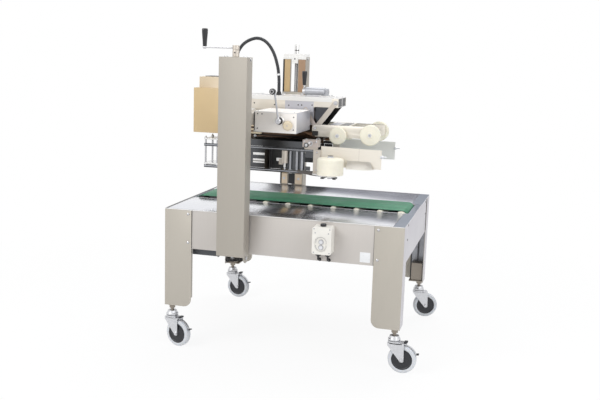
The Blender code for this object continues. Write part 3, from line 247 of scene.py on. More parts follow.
VERTICAL_LINES = (1400.0, 1400.0, 9.0)
LENGTHWISE_LINES = (9.0, 1400.0, 1400.0)
M = {
    "panel": brushed_sheet("panel_stainless", (0.555, 0.522, 0.49), 0.48, VERTICAL_LINES, 0.45),
    "leg": brushed_sheet("leg_stainless", (0.482, 0.448, 0.392), 0.48, VERTICAL_LINES, 0.45),
    "column": brushed_sheet("column_stainless", (0.412, 0.38, 0.332), 0.52, VERTICAL_LINES, 0.35),
    # Blue-grey steel for the end panels, the legs' end faces and the strips beside the belt: the blue-grey tone is
    # painted reflection.
    "end": brushed_sheet("end_stainless_painted_reflection", (0.585, 0.57, 0.6), 0.42, LENGTHWISE_LINES, 0.55),
    "table": polished_sheet("table_mirror", (0.8, 0.81, 0.85), 0.2),
    "beam": brushed_sheet("beam_stainless", (0.7, 0.685, 0.68), 0.3, LENGTHWISE_LINES, 0.65),
    "housing": brushed_sheet("housing_stainless", (0.9, 0.86, 0.815), 0.46, LENGTHWISE_LINES, 0.2),
    "bright": polished_sheet("bright_steel", (0.72, 0.715, 0.705), 0.16),
    "guide": brushed_sheet("guide_stainless", (0.8, 0.75, 0.665), 0.4, LENGTHWISE_LINES, 0.4),
    "rail": polished_sheet("guide_rail_steel", (0.105, 0.108, 0.115), 0.22),
    "zinc": plated("zinc_plate", (0.64, 0.645, 0.665), 0.38, 0.8),
    "galvanised": plated("galvanised_steel", (0.43, 0.44, 0.47), 0.42, 0.7),
    "chrome": plated("chrome_plate", (0.56, 0.56, 0.575), 0.22, 0.9),
    "dark": brushed_sheet("blackened_steel", (0.05, 0.048, 0.05), 0.3, LENGTHWISE_LINES, 0.8),
    "mirror_dark": polished_sheet("dark_mirror_steel", (0.12, 0.11, 0.105), 0.1),
    "belt": belt_surface(),
    "cream": rolled("cream_nylon", (0.88, 0.84, 0.7), 0.42),
    "tyre": rolled("tread_grey", (0.66, 0.675, 0.7), 0.5),
    "hub": moulded("hub_black", (0.018, 0.019, 0.023), 0.42),
    "tan": painted("tan_enamel", (0.6, 0.445, 0.24), 0.42),
    "tan_strip": painted("tan_strip", (0.56, 0.4, 0.205), 0.38),
    "tan_cap": painted("tan_cap", (0.64, 0.525, 0.365), 0.45),
    # A darker copy of the strip tan for the rear column's right lip: painted shade.
    "tan_painted_shade": painted("tan_painted_shade", (0.4, 0.25, 0.15), 0.42),
    "liner": painted("slot_liner", (0.9, 0.89, 0.87), 0.35),
    "white": moulded("switch_ivory", (0.8, 0.775, 0.715), 0.38),
    "grey_ring": moulded("switch_ring_grey", (0.42, 0.42, 0.43), 0.45),
    "button": moulded("button_grey", (0.7, 0.7, 0.715), 0.34),
    "black": moulded("black_moulding", (0.016, 0.016, 0.018), 0.36),
    "hose": black_band(),
    "brass": plated("knob_brass", (0.74, 0.64, 0.47), 0.42, 0.3),
    "motor": painted("motor_grey", (0.07, 0.075, 0.085), 0.45),
    "sticker": moulded("sticker_bare", (0.8, 0.805, 0.81), 0.3, 0.01),
    "rubber": moulded("rubber_black", (0.022, 0.022, 0.022), 0.6, 0.1),
    "edge": brushed_sheet("bright_edge", (0.86, 0.85, 0.83), 0.3, LENGTHWISE_LINES, 0.3),
    "belt_edge": moulded("belt_edge_dark", (0.006, 0.05, 0.028), 0.55, 0.1),
    # A darker steel for the legs' feet and a plate low inside each leg: painted shade.
    "foot": brushed_sheet("foot_painted_shade", (0.3, 0.265, 0.225), 0.34, LENGTHWISE_LINES, 0.8),
    "post": brushed_sheet("post_stainless", (0.6, 0.545, 0.48), 0.34, VERTICAL_LINES, 0.6),
    "slider": brushed_sheet("slider_steel", (0.56, 0.49, 0.45), 0.34, LENGTHWISE_LINES, 0.6),
    "lavender": brushed_sheet("hung_plate_stainless", (0.585, 0.585, 0.635), 0.32, LENGTHWISE_LINES, 0.6),
    "band": brushed_sheet("end_band_stainless", (0.19, 0.215, 0.265), 0.34, VERTICAL_LINES, 0.6),
    # A lighter tan for the lower ends of the rear column's strips: painted light.
    "pad": painted("tan_painted_light", (0.8, 0.65, 0.48), 0.45),
    "far_guide": brushed_sheet("far_guide_stainless", (0.76, 0.76, 0.74), 0.36, LENGTHWISE_LINES, 0.45),
    "pale": brushed_sheet("pale_flange", (0.86, 0.835, 0.78), 0.36, LENGTHWISE_LINES, 0.3),
    "roller_cream": rolled("roller_cream", (0.87, 0.825, 0.69), 0.42),
    "streak": streaked_plate(),
}


# ------------------------------------------------------------------ shapes
def angles(count):
    return [math.tau * step / count for step in range(count)]


def skinned(made, below, above):
    """Joins two rings of points with quads."""
    for step, after in enumerate([*range(1, len(below)), 0]):
        made.faces.new((below[step], below[after], above[after], above[step]))


def lathe(profile, centre, axis, sides=40, ring=None):
    """A (radius, distance along) profile spun about an axis through the centre.

    A profile that starts away from the axis closes into a ring, unless ring says otherwise.
    """
    ring = profile[0][0] > 0 if ring is None else ring
    axis = Vector(axis).normalized()
    across = axis.orthogonal().normalized()
    third = axis.cross(across)
    made = bmesh.new()
    rings = []
    for radius, along in profile:
        base = Vector(centre) + axis * along
        if radius <= 0:
            rings.append([made.verts.new(base)])
        else:
            rings.append([made.verts.new(base + (across * math.cos(angle) + third * math.sin(angle)) * radius)
                          for angle in angles(sides)])
    for below, above in zip(rings, rings[1:] + rings[:1] if ring else rings[1:]):
        if len(below) == len(above) > 1:
            skinned(made, below, above)
        elif len(below) < len(above):
            for here, after in zip(above, above[1:] + above[:1]):
                made.faces.new((below[0], after, here))
        elif len(below) > len(above):
            for here, after in zip(below, below[1:] + below[:1]):
                made.faces.new((here, after, above[0]))
    if not ring:
        for end in (rings[0], rings[-1]):
            if len(end) > 1:
                made.faces.new(end)
    bmesh.ops.recalc_face_normals(made, faces=made.faces)
    return made


def rod(radius, low, high):
    """The profile of a plain round bar."""
    return (0, low), (radius, low), (radius, high), (0, high)


def hoop(inner, outer, low, high):
    """The profile of a plain ring."""
    return (inner, low), (outer, low), (outer, high), (inner, high)


def capped(radius, low, high, crown, top):
    """The profile of a bar with a chamfer up to a smaller crown, as on a nut."""
    return (0, low), (radius, low), (radius, high), (crown, top), (0, top)


def bent(path, radius, steps=5, even=False):
    """A path with its corners rounded to a radius. With even, both legs of a corner are cut alike."""
    points = [Vector(path[0])]
    for before, corner, after in zip(path, path[1:], path[2:]):
        here = Vector(corner)
        back, on = Vector(before) - here, Vector(after) - here
        cuts = [min(radius, leg.length * 0.45) for leg in (back, on)]
        if even:
            cuts = [min(cuts)] * 2
        start, end = here + back.normalized() * cuts[0], here + on.normalized() * cuts[1]
        for step in range(steps + 1):
            t = step / steps
            points.append(start * (1 - t) ** 2 + here * 2 * t * (1 - t) + end * t * t)
    return points + [Vector(path[-1])]


def rounded(corners, radius, steps=4):
    """A profile of (radius, along) corners with each inner corner rounded off."""
    return [(point.x, point.y) for point in bent([(*corner, 0) for corner in corners], radius, steps, True)]


def softened(made, width, segments=2, angle=0.5):
    """Rounds a shape's sharp edges over."""
    if width:
        edges = [edge for edge in made.edges if edge.is_manifold and edge.calc_face_angle(0) > angle]
        bmesh.ops.bevel(made, geom=edges, offset=width, segments=segments, profile=0.6,
                        affect="EDGES", clamp_overlap=True)
    return made


def slab(outline, axis, low, high, bevel=0.0006, segments=2):
    """An outline swept along X, Y or Z. The outline's two numbers are the other two axes, in order."""
    order = {"X": (2, 0, 1), "Y": (0, 2, 1), "Z": (0, 1, 2)}[axis]
    made = bmesh.new()
    rings = []
    for level in sorted((low, high)):
        points = [(first, second, level) for first, second in outline]
        rings.append([made.verts.new([point[index] for index in order]) for point in points])
    for ring in rings:
        made.faces.new(ring)
    skinned(made, *rings)
    bmesh.ops.recalc_face_normals(made, faces=made.faces)
    return softened(made, bevel, segments)


def arc(centre, radius, start, end, steps):
    """Points on a circle, between two angles in degrees."""
    points = []
    for step in range(steps + 1):
        angle = math.radians(start + (end - start) * step / steps)
        points.append((centre[0] + radius * math.cos(angle), centre[1] + radius * math.sin(angle)))
    return points


def oblong(one, other, radius, steps):
    """The outline of an upright bar with round ends about two points."""
    return arc(one, radius, 0, 180, steps) + arc(other, radius, 180, 360, steps)


def oblong_link(one, other, radius):
    """The outline of a link between two pivots."""
    slope = math.degrees(math.atan2(other[1] - one[1], other[0] - one[0]))
    return arc(one, radius, slope + 90, slope + 270, 10) + arc(other, radius, slope - 90, slope + 90, 10)


def sprocket(x, y, count, root, tip):
    """A toothed outline. Root and tip are (radius, share of a tooth to either side of its middle)."""
    teeth = []
    for step in range(count):
        for radius, share in ((root[0], -root[1]), (tip[0], -tip[1]), tip, root):
            angle = math.tau * (step + share) / count
            teeth.append((x + radius * math.cos(angle), y + radius * math.sin(angle)))
    return teeth


def rounded_rectangle(low_x, high_x, low_y, high_y, radius, steps=5):
    """A rectangle's outline with rounded corners."""
    outline = []
    for x, y, start in ((high_x - radius, high_y - radius, 0), (low_x + radius, high_y - radius, 90),
                        (low_x + radius, low_y + radius, 180), (high_x - radius, low_y + radius, 270)):
        outline += arc((x, y), radius, start, start + 90, steps)
    return outline


def tube(path, radius, sides=14):
    """A round tube along a list of points, closed at both ends."""
    made = bmesh.new()
    rings = []
    side = None
    for index, point in enumerate(path):
        along = (path[min(len(path) - 1, index + 1)] - path[max(0, index - 1)]).normalized()
        side = along.orthogonal() if side is None else side - along * side.dot(along)
        side.normalize()
        third = along.cross(side)
        rings.append([made.verts.new(point + (side * math.cos(angle) + third * math.sin(angle)) * radius)
                      for angle in angles(sides)])
    for below, above in zip(rings, rings[1:]):
        skinned(made, below, above)
    made.faces.new(rings[0])
    made.faces.new(rings[-1])
    bmesh.ops.recalc_face_normals(made, faces=made.faces)
    return made


# ------------------------------------------------------------------ pieces
CREASE = 38  # degrees: an edge that turns by more than this is drawn sharp


def evaluated(source):
    """The plain mesh that an object's modifiers give."""
    bpy.context.view_layer.update()
    depsgraph = bpy.context.evaluated_depsgraph_get()
    return bpy.data.meshes.new_from_object(source.evaluated_get(depsgraph))


def plain_mesh(made):
    """Swaps an object's live modifiers for the mesh they give."""
    mesh = evaluated(made)
    made.modifiers.clear()
    made.data = mesh
    mesh.name = made.name


def carried(made, body, nodes=()):
    """Lets an object ride on a body, and stand for CAD nodes."""
    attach(made, body)
    if nodes:
        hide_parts(*nodes)
    return made


class Piece:
    """Collects shapes into one mesh, each with its own finish."""

    def __init__(self, name):
        self.name = name
        self.mesh = bmesh.new()
        self.finishes = []

    def add(self, finish, made):
        if finish not in self.finishes:
            self.finishes.append(finish)
        for face in made.faces:
            face.material_index = self.finishes.index(finish)
            face.smooth = True
        passing = bpy.data.meshes.new("passing")
        made.to_mesh(passing)
        made.free()
        self.mesh.from_mesh(passing)
        bpy.data.meshes.remove(passing)

    def block(self, finish, one, other, bevel=0.001, segments=2):
        """A block between two corners with its edges rounded over."""
        (x, y, z), (far_x, far_y, top) = zip(*[sorted(pair) for pair in zip(one, other)])
        self.slab(finish, ((x, y), (far_x, y), (far_x, far_y), (x, far_y)), "Z", z, top, bevel, segments)

    def slab(self, finish, *shape):
        self.add(finish, slab(*shape))

    def turned(self, finish, *shape):
        self.add(finish, lathe(*shape))

    def done(self, body, nodes=(), place=None):
        """Turns the shapes into an object that rides on a body and stands for CAD nodes.

        Shapes are drawn from the table's middle, unless another place is given.
        """
        mesh = bpy.data.meshes.new(self.name)
        self.mesh.transform(place or Matrix.Translation((TABLE_MIDDLE, 0, 0)))
        self.mesh.to_mesh(mesh)
        self.mesh.free()
        for finish in self.finishes:
            mesh.materials.append(M[finish])
        mesh.set_sharp_from_angle(angle=math.radians(CREASE))
        made = linked(self.name, mesh)
        made.modifiers.new("shading", "WEIGHTED_NORMAL").keep_sharp = True
        plain_mesh(made)
        carried(made, body, nodes)


def refined(node, finish, bevel=0.0008, segments=2, repaint=()):
    """A CAD node with its folds and edges rounded over, in its own finish.

    Repaint is a list of (finish, test on a face's middle and normal): a face that
    passes a test takes that finish.
    """
    made = bmesh.new()
    made.from_mesh(frame["nodes"][node].data)
    bmesh.ops.remove_doubles(made, verts=made.verts, dist=0.00001)
    bmesh.ops.dissolve_limit(made, angle_limit=math.radians(1), verts=made.verts, edges=made.edges)
    mesh = bpy.data.meshes.new(node + "_sheet")
    made.to_mesh(mesh)
    made.free()
    piece = linked(node + "_finish", mesh)
    rounding = piece.modifiers.new("rounding", "BEVEL")
    rounding.width = bevel
    rounding.segments = segments
    rounding.limit_method = "ANGLE"
    rounding.angle_limit = math.radians(32)
    rounding.harden_normals = True
    mesh.shade_smooth()
    plain_mesh(piece)
    mesh = piece.data
    mesh.materials.clear()
    always = (finish, lambda middle, normal: True)
    for index, (other, test) in enumerate((always, *repaint)):
        mesh.materials.append(M[other])
        for polygon in mesh.polygons:
            if test(polygon.center, polygon.normal):
                polygon.material_index = index
    carried(piece, BODY_OF[node], [node])


# ------------------------------------------------------------------ repeated shapes
class Pattern:
    """One Geometry Nodes tree, with named sizes and short calls for its nodes."""

    def __init__(self, name, sizes):
        self.tree = bpy.data.node_groups.new(name, "GeometryNodeTree")
        face = self.tree.interface
        face.new_socket("Geometry", in_out="INPUT", socket_type="NodeSocketGeometry")
        for label, value in sizes.items():
            kind = "NodeSocketInt" if isinstance(value, int) else "NodeSocketFloat"
            face.new_socket(label, in_out="INPUT", socket_type=kind).default_value = value
        face.new_socket("Finish", in_out="INPUT", socket_type="NodeSocketMaterial")
        face.new_socket("Geometry", in_out="OUTPUT", socket_type="NodeSocketGeometry")
        self.given = self.tree.nodes.new("NodeGroupInput").outputs
        self.result = self.tree.nodes.new("NodeGroupOutput").inputs

    def node(self, kind, inputs=None, output=0, **settings):
        """Adds a node and gives back one of its outputs."""
        return wired(self.tree, kind, inputs, **settings).outputs[output]

    def math(self, operation, one, other=0.0):
        return self.node("ShaderNodeMath", {0: one, 1: other}, operation=operation)

    def vector(self, x, y, z):
        return self.node("ShaderNodeCombineXYZ", {"X": x, "Y": y, "Z": z})

    def cylinder(self, sides, radius, depth):
        return self.node("GeometryNodeMeshCylinder", {"Vertices": sides, "Radius": radius, "Depth": depth})

    def transformed(self, geometry, **changes):
        return self.node("GeometryNodeTransform", {"Geometry": geometry, **changes})

    def swept(self, curve, sides, radius, **options):
        """A round skin along a curve, closed at both ends."""
        circle = self.node("GeometryNodeCurvePrimitiveCircle", {"Resolution": sides, "Radius": radius})
        return self.node("GeometryNodeCurveToMesh", {"Curve": curve, "Profile Curve": circle,
                                                     "Fill Caps": True, **options})

    def turn(self, vector, axis):
        return self.node("FunctionNodeAlignRotationToVector", {"Vector": vector}, axis=axis)

    def joined(self, *parts):
        join = wired(self.tree, "GeometryNodeJoinGeometry")
        for part in reversed(parts):
            self.tree.links.new(part, join.inputs[0])
        return join.outputs[0]

    def on_points(self, instance, points=None, **options):
        """Sets a shape on each point and closes the tree."""
        places = {"Points": points or self.given["Geometry"], "Instance": instance, **options}
        return self.end(self.node("GeometryNodeInstanceOnPoints", places))

    def on_spots(self, instance):
        """Sets a shape on each spot, with its Z axis outwards."""
        facing = self.node("GeometryNodeInputNamedAttribute", {"Name": "outward"}, data_type="FLOAT_VECTOR")
        return self.on_points(instance, Rotation=self.turn(facing, "Z"))

    def end(self, geometry):
        """Closes the tree: real geometry, in the finish that is handed in."""
        real = self.node("GeometryNodeRealizeInstances", {"Geometry": geometry})
        coat = self.node("GeometryNodeSetMaterial", {"Geometry": real, "Material": self.given["Finish"]})
        self.tree.links.new(coat, self.result["Geometry"])
        return self.tree


def grown(name, base, tree, body, finish, sizes, angle=CREASE):
    """Runs a pattern on a base object and keeps the result as a plain piece."""
    base.name = name
    modifier = base.modifiers.new("pattern", "NODES")
    modifier.node_group = tree
    values = {**sizes, "Finish": M[finish]}
    for item in tree.interface.items_tree:
        if item.in_out == "INPUT" and item.name in values:
            modifier[item.identifier] = values[item.name]
    mesh = evaluated(base)
    bpy.data.objects.remove(base)
    mesh.name = name
    mesh.shade_smooth()
    mesh.set_sharp_from_angle(angle=math.radians(angle))
    return carried(linked(name, mesh), body)


def spots(places):
    """A cloud of points for a pattern: each place is (point from the table's middle, outward direction)."""
    mesh = bpy.data.meshes.new("spots")
    mesh.from_pydata([tuple(at(*point)) for point, _ in places], [], [])
    outward = mesh.attributes.new("outward", "FLOAT_VECTOR", "POINT")
    for index, (_, direction) in enumerate(places):
        outward.data[index].vector = Vector(direction).normalized()
    return linked("spots", mesh)


def spots_around(x, y, z, radius, count):
    """Spots on a circle about an axis along Y, facing outwards."""
    ways = [Vector((math.cos(angle), 0, math.sin(angle))) for angle in angles(count)]
    return spots([(Vector((x, y, z)) + way * radius, way) for way in ways])


def path_object(points, closed=False):
    """A curve through points, as the base of a pattern."""
    curve = bpy.data.curves.new("path", "CURVE")
    curve.dimensions = "3D"
    spline = curve.splines.new("POLY")
    spline.points.add(len(points) - 1)
    for index, point in enumerate(points):
        spline.points[index].co = (*at(*point), 1.0)
    spline.use_cyclic_u = closed
    return linked("path", curve)


def dome_heads():
    """Round-headed screws with a socket, on each spot."""
    pattern = Pattern("dome_heads", {"Radius": 0.004, "Height": 0.002})
    radius, height = pattern.given["Radius"], pattern.given["Height"]
    ball = pattern.node("GeometryNodeMeshUVSphere", {"Segments": 16, "Rings": 8, "Radius": radius})
    dome = pattern.transformed(ball, Scale=pattern.vector(1.0, 1.0, pattern.math("DIVIDE", height, radius)))
    socket = pattern.cylinder(6, pattern.math("MULTIPLY", radius, 0.42),
                              pattern.math("MULTIPLY", height, 2.04))
    return pattern.on_spots(pattern.joined(dome, socket))


def hex_heads():
    """Six-sided bolt heads on washers, with a chamfered crown, on each spot."""
    pattern = Pattern("hex_heads", {"Radius": 0.006, "Height": 0.004})
    radius, height = pattern.given["Radius"], pattern.given["Height"]
    layers = [pattern.cylinder(sides, pattern.math("MULTIPLY", radius, wide),
                               pattern.math("MULTIPLY", height, tall)) for sides, wide,
              tall in ((24, 1.4, 0.4), (6, 1.0, 1.8), (20, 0.8, 2.1))]
    return pattern.on_spots(pattern.joined(*layers))


def ribbed_hose():
    """A corrugated tube along a path."""
    pattern = Pattern("ribbed_hose", {"Radius": 0.007, "Pitch": 0.004, "Depth": 0.12, "Steps": 700})
    given = pattern.given
    fine = pattern.node("GeometryNodeResampleCurve", {"Curve": given["Geometry"], "Count": given["Steps"]})
    along = pattern.node("GeometryNodeSplineParameter", output="Length")
    phase = pattern.math("MULTIPLY", pattern.math("DIVIDE", along, given["Pitch"]), math.tau)
    wave = pattern.math("SUBTRACT", pattern.math("SINE", phase), 1.0)
    swell = pattern.math("MULTIPLY", wave, pattern.math("MULTIPLY", given["Depth"], 0.5))
    return pattern.end(pattern.swept(fine, 18, given["Radius"], Scale=pattern.math("ADD", swell, 1.0)))


def screw_thread():
    """A round ridge that winds up each spot, for a lifting screw's thread."""
    pattern = Pattern("screw_thread", {"Core": 0.009, "Turns": 100.0, "Height": 0.8, "Ridge": 0.0014})
    given = pattern.given
    sizes = {"Resolution": 18, "Rotations": given["Turns"], "Start Radius": given["Core"],
             "End Radius": given["Core"], "Height": given["Height"]}
    coil = pattern.node("GeometryNodeCurveSpiral", sizes)
    return pattern.on_points(pattern.swept(coil, 5, given["Ridge"]))


def roller_chain():
    """Side plates and rollers of a chain along a closed path."""
    pattern = Pattern("roller_chain", {"Pitch": 0.0127, "Width": 0.008})
    pitch, width = pattern.given["Pitch"], pattern.given["Width"]
    links = pattern.node("GeometryNodeResampleCurve", {"Curve": pattern.given["Geometry"], "Length": pitch},
                         mode="LENGTH")
    turn = pattern.turn(pattern.node("GeometryNodeInputTangent"), "X")
    size = pattern.vector(pattern.math("MULTIPLY", pitch, 1.35), 0.0075, 0.0011)
    plate = pattern.node("GeometryNodeMeshCube", {"Size": size})
    upper, lower = [pattern.transformed(plate, Translation=pattern.vector(0.0, 0.0,
                                                                          pattern.math("MULTIPLY", width,
                                                                                       share)))
                    for share in (0.5, -0.5)]
    link = pattern.joined(upper, lower, pattern.cylinder(10, 0.003, width))
    points = pattern.node("GeometryNodeCurveToPoints", {"Curve": links}, mode="EVALUATED")
    return pattern.on_points(link, points, Rotation=turn)


def ridges():
    """Upright bars on each spot, long side outwards: knurls, cooling fins and grip flutes."""
    pattern = Pattern("ridges", {"Thick": 0.001, "Deep": 0.002, "Long": 0.01})
    size = pattern.vector(*[pattern.given[label] for label in ("Thick", "Long", "Deep")])
    return pattern.on_spots(pattern.node("GeometryNodeMeshCube", {"Size": size}))


def louvres():
    """Pressed louvre hoods on each spot."""
    pattern = Pattern("louvres", {"Wide": 0.04, "Tall": 0.004, "Deep": 0.002})
    size = pattern.vector(*[pattern.given[label] for label in ("Tall", "Deep", "Wide")])
    shaped = pattern.transformed(pattern.cylinder(12, 1.0, 1.0), Scale=size)
    return pattern.on_points(pattern.transformed(shaped, Rotation=(math.pi / 2, 0.0, math.pi / 2)))


DOMES, HEXES, HOSE, THREAD = dome_heads(), hex_heads(), ribbed_hose(), screw_thread()
CHAIN, RIDGES, LOUVRES = roller_chain(), ridges(), louvres()


def screws(name, places, body, radius, height, finish="chrome", tree=DOMES):
    """A set of screw heads on one body."""
    grown(name, spots(places), tree, body, finish, {"Radius": radius, "Height": height})


# ------------------------------------------------------------------ table and legs
def frame_sheets():
    """Aprons, end panels, legs and the polished table plates."""
    for name in ("front_apron", "rear_apron"):
        refined(name, "panel", 0.0012)
    leg_finishes = [
        # Leg faces that look out along X at the table's ends take the lighter blue-grey end steel: painted
        # reflection.
        ("end", lambda middle, normal: abs(normal.x) > 0.9 and abs(middle.x - TABLE_MIDDLE) > 0.541),
        # Faces low on a leg's foot take the darker foot steel: painted shade.
        ("foot", lambda middle, normal: middle.z < 0.2036 and abs(middle.y) < 0.4465),
    ]
    for corner in CORNERS:
        refined("leg_" + corner, "leg", 0.0012, repaint=leg_finishes)
    for name in ("left_end_panel", "right_end_panel"):
        refined(name, "end", 0.0012, repaint=[("band", lambda middle, normal: middle.z > 0.648)])
    # The plates' rims take the bright edge finish: painted highlight along the table's edges.
    rim = [("edge", lambda middle, normal: abs(middle.y) > 0.4485)]
    for name in ("table_plate_front", "table_plate_rear"):
        refined(name, "table", 0.0007, repaint=rim)
    leg_screws = [((0.433 * side_x, 0.45 * side_y, height), (0, side_y, 0))
                  for side_x, side_y in QUARTERS for height in (0.63, 0.4985)]
    screws("leg_screws", leg_screws, "frame", 0.0065, 0.0035)
    dark_screws = [((0.5416 * side_x, inset * side_y, height), (side_x, 0, 0)) for side_x, side_y in QUARTERS
                   for inset, height in ((0.316, 0.634), (0.366, 0.618), (0.326, 0.5714))]
    screws("end_panel_screws", dark_screws, "frame", 0.0054, 0.0015, "black")
    trim = Piece("table_trim")
    for side in SIDES:
        for x_low, x_high, inner, finish in ((-0.5446, -0.533, 0.002, "black"),
                                             (-0.533, -0.5318, 0.1372, "edge"),
                                             (0.496, 0.5446, 0.1372, "band"),
                                             (0.4945, 0.496, 0.1372, "dark")):
            trim.block(finish, (x_low, inner * side, 0.6498), (x_high, 0.448 * side, 0.6505), 0.0001, 1)
        # A thin dark strip beside each rim: painted reflection of the dark in the apron's bend.
        trim.block("dark", (-0.538, 0.444 * side, 0.6498), (0.494, 0.4452 * side, 0.6503), 0.0001, 1)
        for end in SIDES:
            trim.block("dark", (0.4158 * end, 0.4468 * side, 0.4715), (0.4171 * end, 0.4495 * side, 0.6464),
                       0.0002, 1)
            trim.block("dark", (0.5416 * end, 0.358 * side, 0.48), (0.5434 * end, 0.36 * side, 0.6464),
                       0.0002, 1)
        rollers = [-0.171 + 0.1105 * index for index in range(6)]
        starts = [-0.454, *(x + 0.0175 for x in rollers)]
        stops = [*(x - 0.0175 for x in rollers), 0.46]
        trim.block("end", (-0.532, 0.1296 * side, 0.6482), (0.512, 0.1372 * side, 0.6502), 0.0003, 1)
        trim.block("end", (-0.528, 0.1225 * side, 0.6484), (-0.454, 0.13 * side, 0.65), 0.0003, 1)
        for low, high in zip(starts, stops):
            trim.block("end", (low, 0.1203 * side, 0.648), (high, 0.13 * side, 0.65), 0.0003, 1)
    trim.done("frame")
    stiffeners = Piece("leg_inner_channels")
    for side_x, side_y in QUARTERS:
        for x, y, half_x, half_y, low, high, finish in (
                (0.505, 0.4415, 0.034, 0.0015, 0.204, 0.46, "galvanised"),
                (0.54, 0.408, 0.0015, 0.03, 0.204, 0.46, "galvanised"),
                (0.47, 0.436, 0.0015, 0.007, 0.204, 0.46, "dark"),
                (0.505, 0.431, 0.002, 0.009, 0.3, 0.47, "dark"),
                # This last row is a dark plate low inside each leg: painted shade, standing for the dark
                # reflection there.
                (0.508, 0.41, 0.028, 0.028, 0.2035, 0.295, "foot")):
            stiffeners.block(finish, ((x - half_x) * side_x, (y - half_y) * side_y, low),
                             ((x + half_x) * side_x, (y + half_y) * side_y, high), 0.0008, 1)
    stiffeners.done("frame")
    bare = Piece("apron_sticker")
    outline = rounded_rectangle(0.357, 0.402, 0.483, 0.527, 0.002)
    bare.slab("sticker", outline, "Y", -0.44685, -0.44655, 0.0)
    bare.done("frame")


def caster(corner):
    """Fork, race, brake and axle of one caster, then its wheel."""
    spin = JOINT["wheel_spin_" + corner]
    middle = JOINT["swivel_" + corner]["pos_m"]
    heading = math.atan2(-spin["axis"][0], spin["axis"][1])
    place = Matrix.Translation((middle[0], middle[1], 0)) @ Matrix.Rotation(heading, 4, "Z")
    hub, axle = 0.038, 0.0625
    fork = Piece("caster_fork_finish_" + corner)
    fork.slab("zinc", rounded_rectangle(-0.027, 0.046, -0.0225, 0.0225, 0.009), "Z", 0.13, 0.1365, 0.0012)
    race = rounded(((0, 0.1362), (0.0275, 0.1362), (0.0275, 0.143), (0.0245, 0.1436), (0.0245, 0.1452),
                    (0.0275, 0.1458), (0.0272, 0.152), (0.0235, 0.156), (0.0205, 0.1655), (0.0095, 0.1655),
                    (0.0095, 0.156), (0, 0.156)), 0.0008, 2)
    fork.turned("zinc", race, (0, 0, 0), Z_AXIS, 48)
    fork.turned("hub", hoop(0.0238, 0.0264, 0.1434, 0.1454), (0, 0, 0), Z_AXIS, 40)
    cheek = [(-0.027, 0.1362), (-0.027, 0.1245)] + arc((hub, axle), 0.0105, 205, 335, 12)
    cheek += [(0.046, 0.1215), (0.046, 0.1362)]
    rib = [(-0.017, 0.129)] + arc((hub, axle + 0.014), 0.005, 205, 335, 6) + [(0.035, 0.129)]
    for side in SIDES:
        fork.slab("zinc", cheek, "Y", 0.0195 * side, 0.0225 * side, 0.0007)
        fork.slab("zinc", rib, "Y", 0.0222 * side, 0.0231 * side, 0.0004)
        fork.turned("zinc", rod(0.0098, 0.0224, 0.0232), (hub, 0, axle), Y_AXIS * side, 28)
        fork.turned("chrome", capped(0.0088, 0.023, 0.0258, 0.0076, 0.0268), (hub, 0, axle), Y_AXIS * side, 6)
        fork.turned("zinc", ((0, 0.026), (0.0052, 0.026), (0.0052, 0.0269), (0, 0.027)), (hub, 0, axle),
                    Y_AXIS * side, 20)
    fork.block("zinc", (-0.027, -0.02, 0.124), (-0.0245, 0.02, 0.136), 0.0008)
    fork.turned("zinc", rod(0.006, -0.02, 0.02), (hub, 0, axle), Y_AXIS, 20)
    if corner != "rear_right":
        shoe = arc((hub, axle), 0.0662, 76, 24, 8) + arc((hub, axle), 0.068, 24, 76, 8)
        fork.slab("zinc", shoe, "Y", -0.0055, 0.0055, 0.0004)
        fork.block("zinc", (0.04, -0.013, 0.13), (0.056, 0.013, 0.135), 0.001)
        clip = ((0.042, 0.137), (0.06, 0.139), (0.059, 0.1445), (0.045, 0.1435))
        fork.slab("hub", clip, "Y", -0.011, 0.011, 0.001)
        wedge = ((hub + 0.06, 0.088), (hub + 0.0725, 0.0892), (hub + 0.0715, 0.0925), (hub + 0.0595, 0.091))
        fork.slab("hub", wedge, "Y", -0.01, 0.01, 0.0008)
    fork.done("caster_swivel_" + corner, ["caster_fork_" + corner], place)

    wheel = Piece("caster_wheel_finish_" + corner)
    tread = rounded(((0.0455, -0.0145), (0.051, -0.016), (0.059, -0.015), (0.0625, -0.0085),
                     (0.0625, 0.0085), (0.059, 0.015), (0.051, 0.016), (0.0455, 0.0145)), 0.004, 5)
    wheel.turned("tyre", tread, (hub, 0, axle), Y_AXIS, 72)
    dish = ((0.0068, -0.0182), (0.015, -0.0182), (0.0165, -0.015), (0.0385, -0.0128), (0.042, -0.0152),
            (0.0462, -0.0152))
    dish = rounded(dish + tuple((radius, -along) for radius, along in reversed(dish)), 0.001, 2)
    wheel.turned("hub", dish, (hub, 0, axle), Y_AXIS, 60)
    wheel.done("caster_wheel_" + corner, ["caster_wheel_" + corner], place)


# ------------------------------------------------------------------ belt conveyor
def conveyor():
    refined("belt_bed", "dark", 0.0008)
    refined("conveyor_belt", "belt", 0.0005,
            repaint=[("belt_edge", lambda middle, normal: abs(normal.y) > 0.8)])
    for index in range(1, 7):
        roller("support_roller_%d" % index, 0.0204, 0.128, "cream", 0.0025)
    roller("drive_pulley", 0.0266, 0.1215, "rubber", 0.0012)
    roller("tail_pulley", 0.0266, 0.1215, "cream", 0.0012)


def roller(node, radius, half, finish, edge):
    """A turned roller with bearing rings and stub axles."""
    low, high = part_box(node)
    middle = ((low.x + high.x) / 2, 0, (low.z + high.z) / 2)
    made = Piece(node + "_finish")
    profile = rounded(rod(radius, -half, half), edge, 5)
    made.turned(finish, profile, middle, Y_AXIS, 48)
    for side in SIDES:
        if finish == "cream":
            flange = rounded(hoop(0.013, radius, half - 0.001, 0.1295), 0.0015, 3)
            made.turned("cream", flange, middle, Y_AXIS * side, 48)
        made.turned("zinc", ((0, half - 0.001), (0.0125, half - 0.001), (0.0125, half + 0.0006),
                             (0.006, half + 0.001), (0.005, half + 0.0012), (0.005, 0.1355), (0, 0.1357)),
                    middle, Y_AXIS * side, 24)
    made.done(node, [node], Matrix.Identity(4))


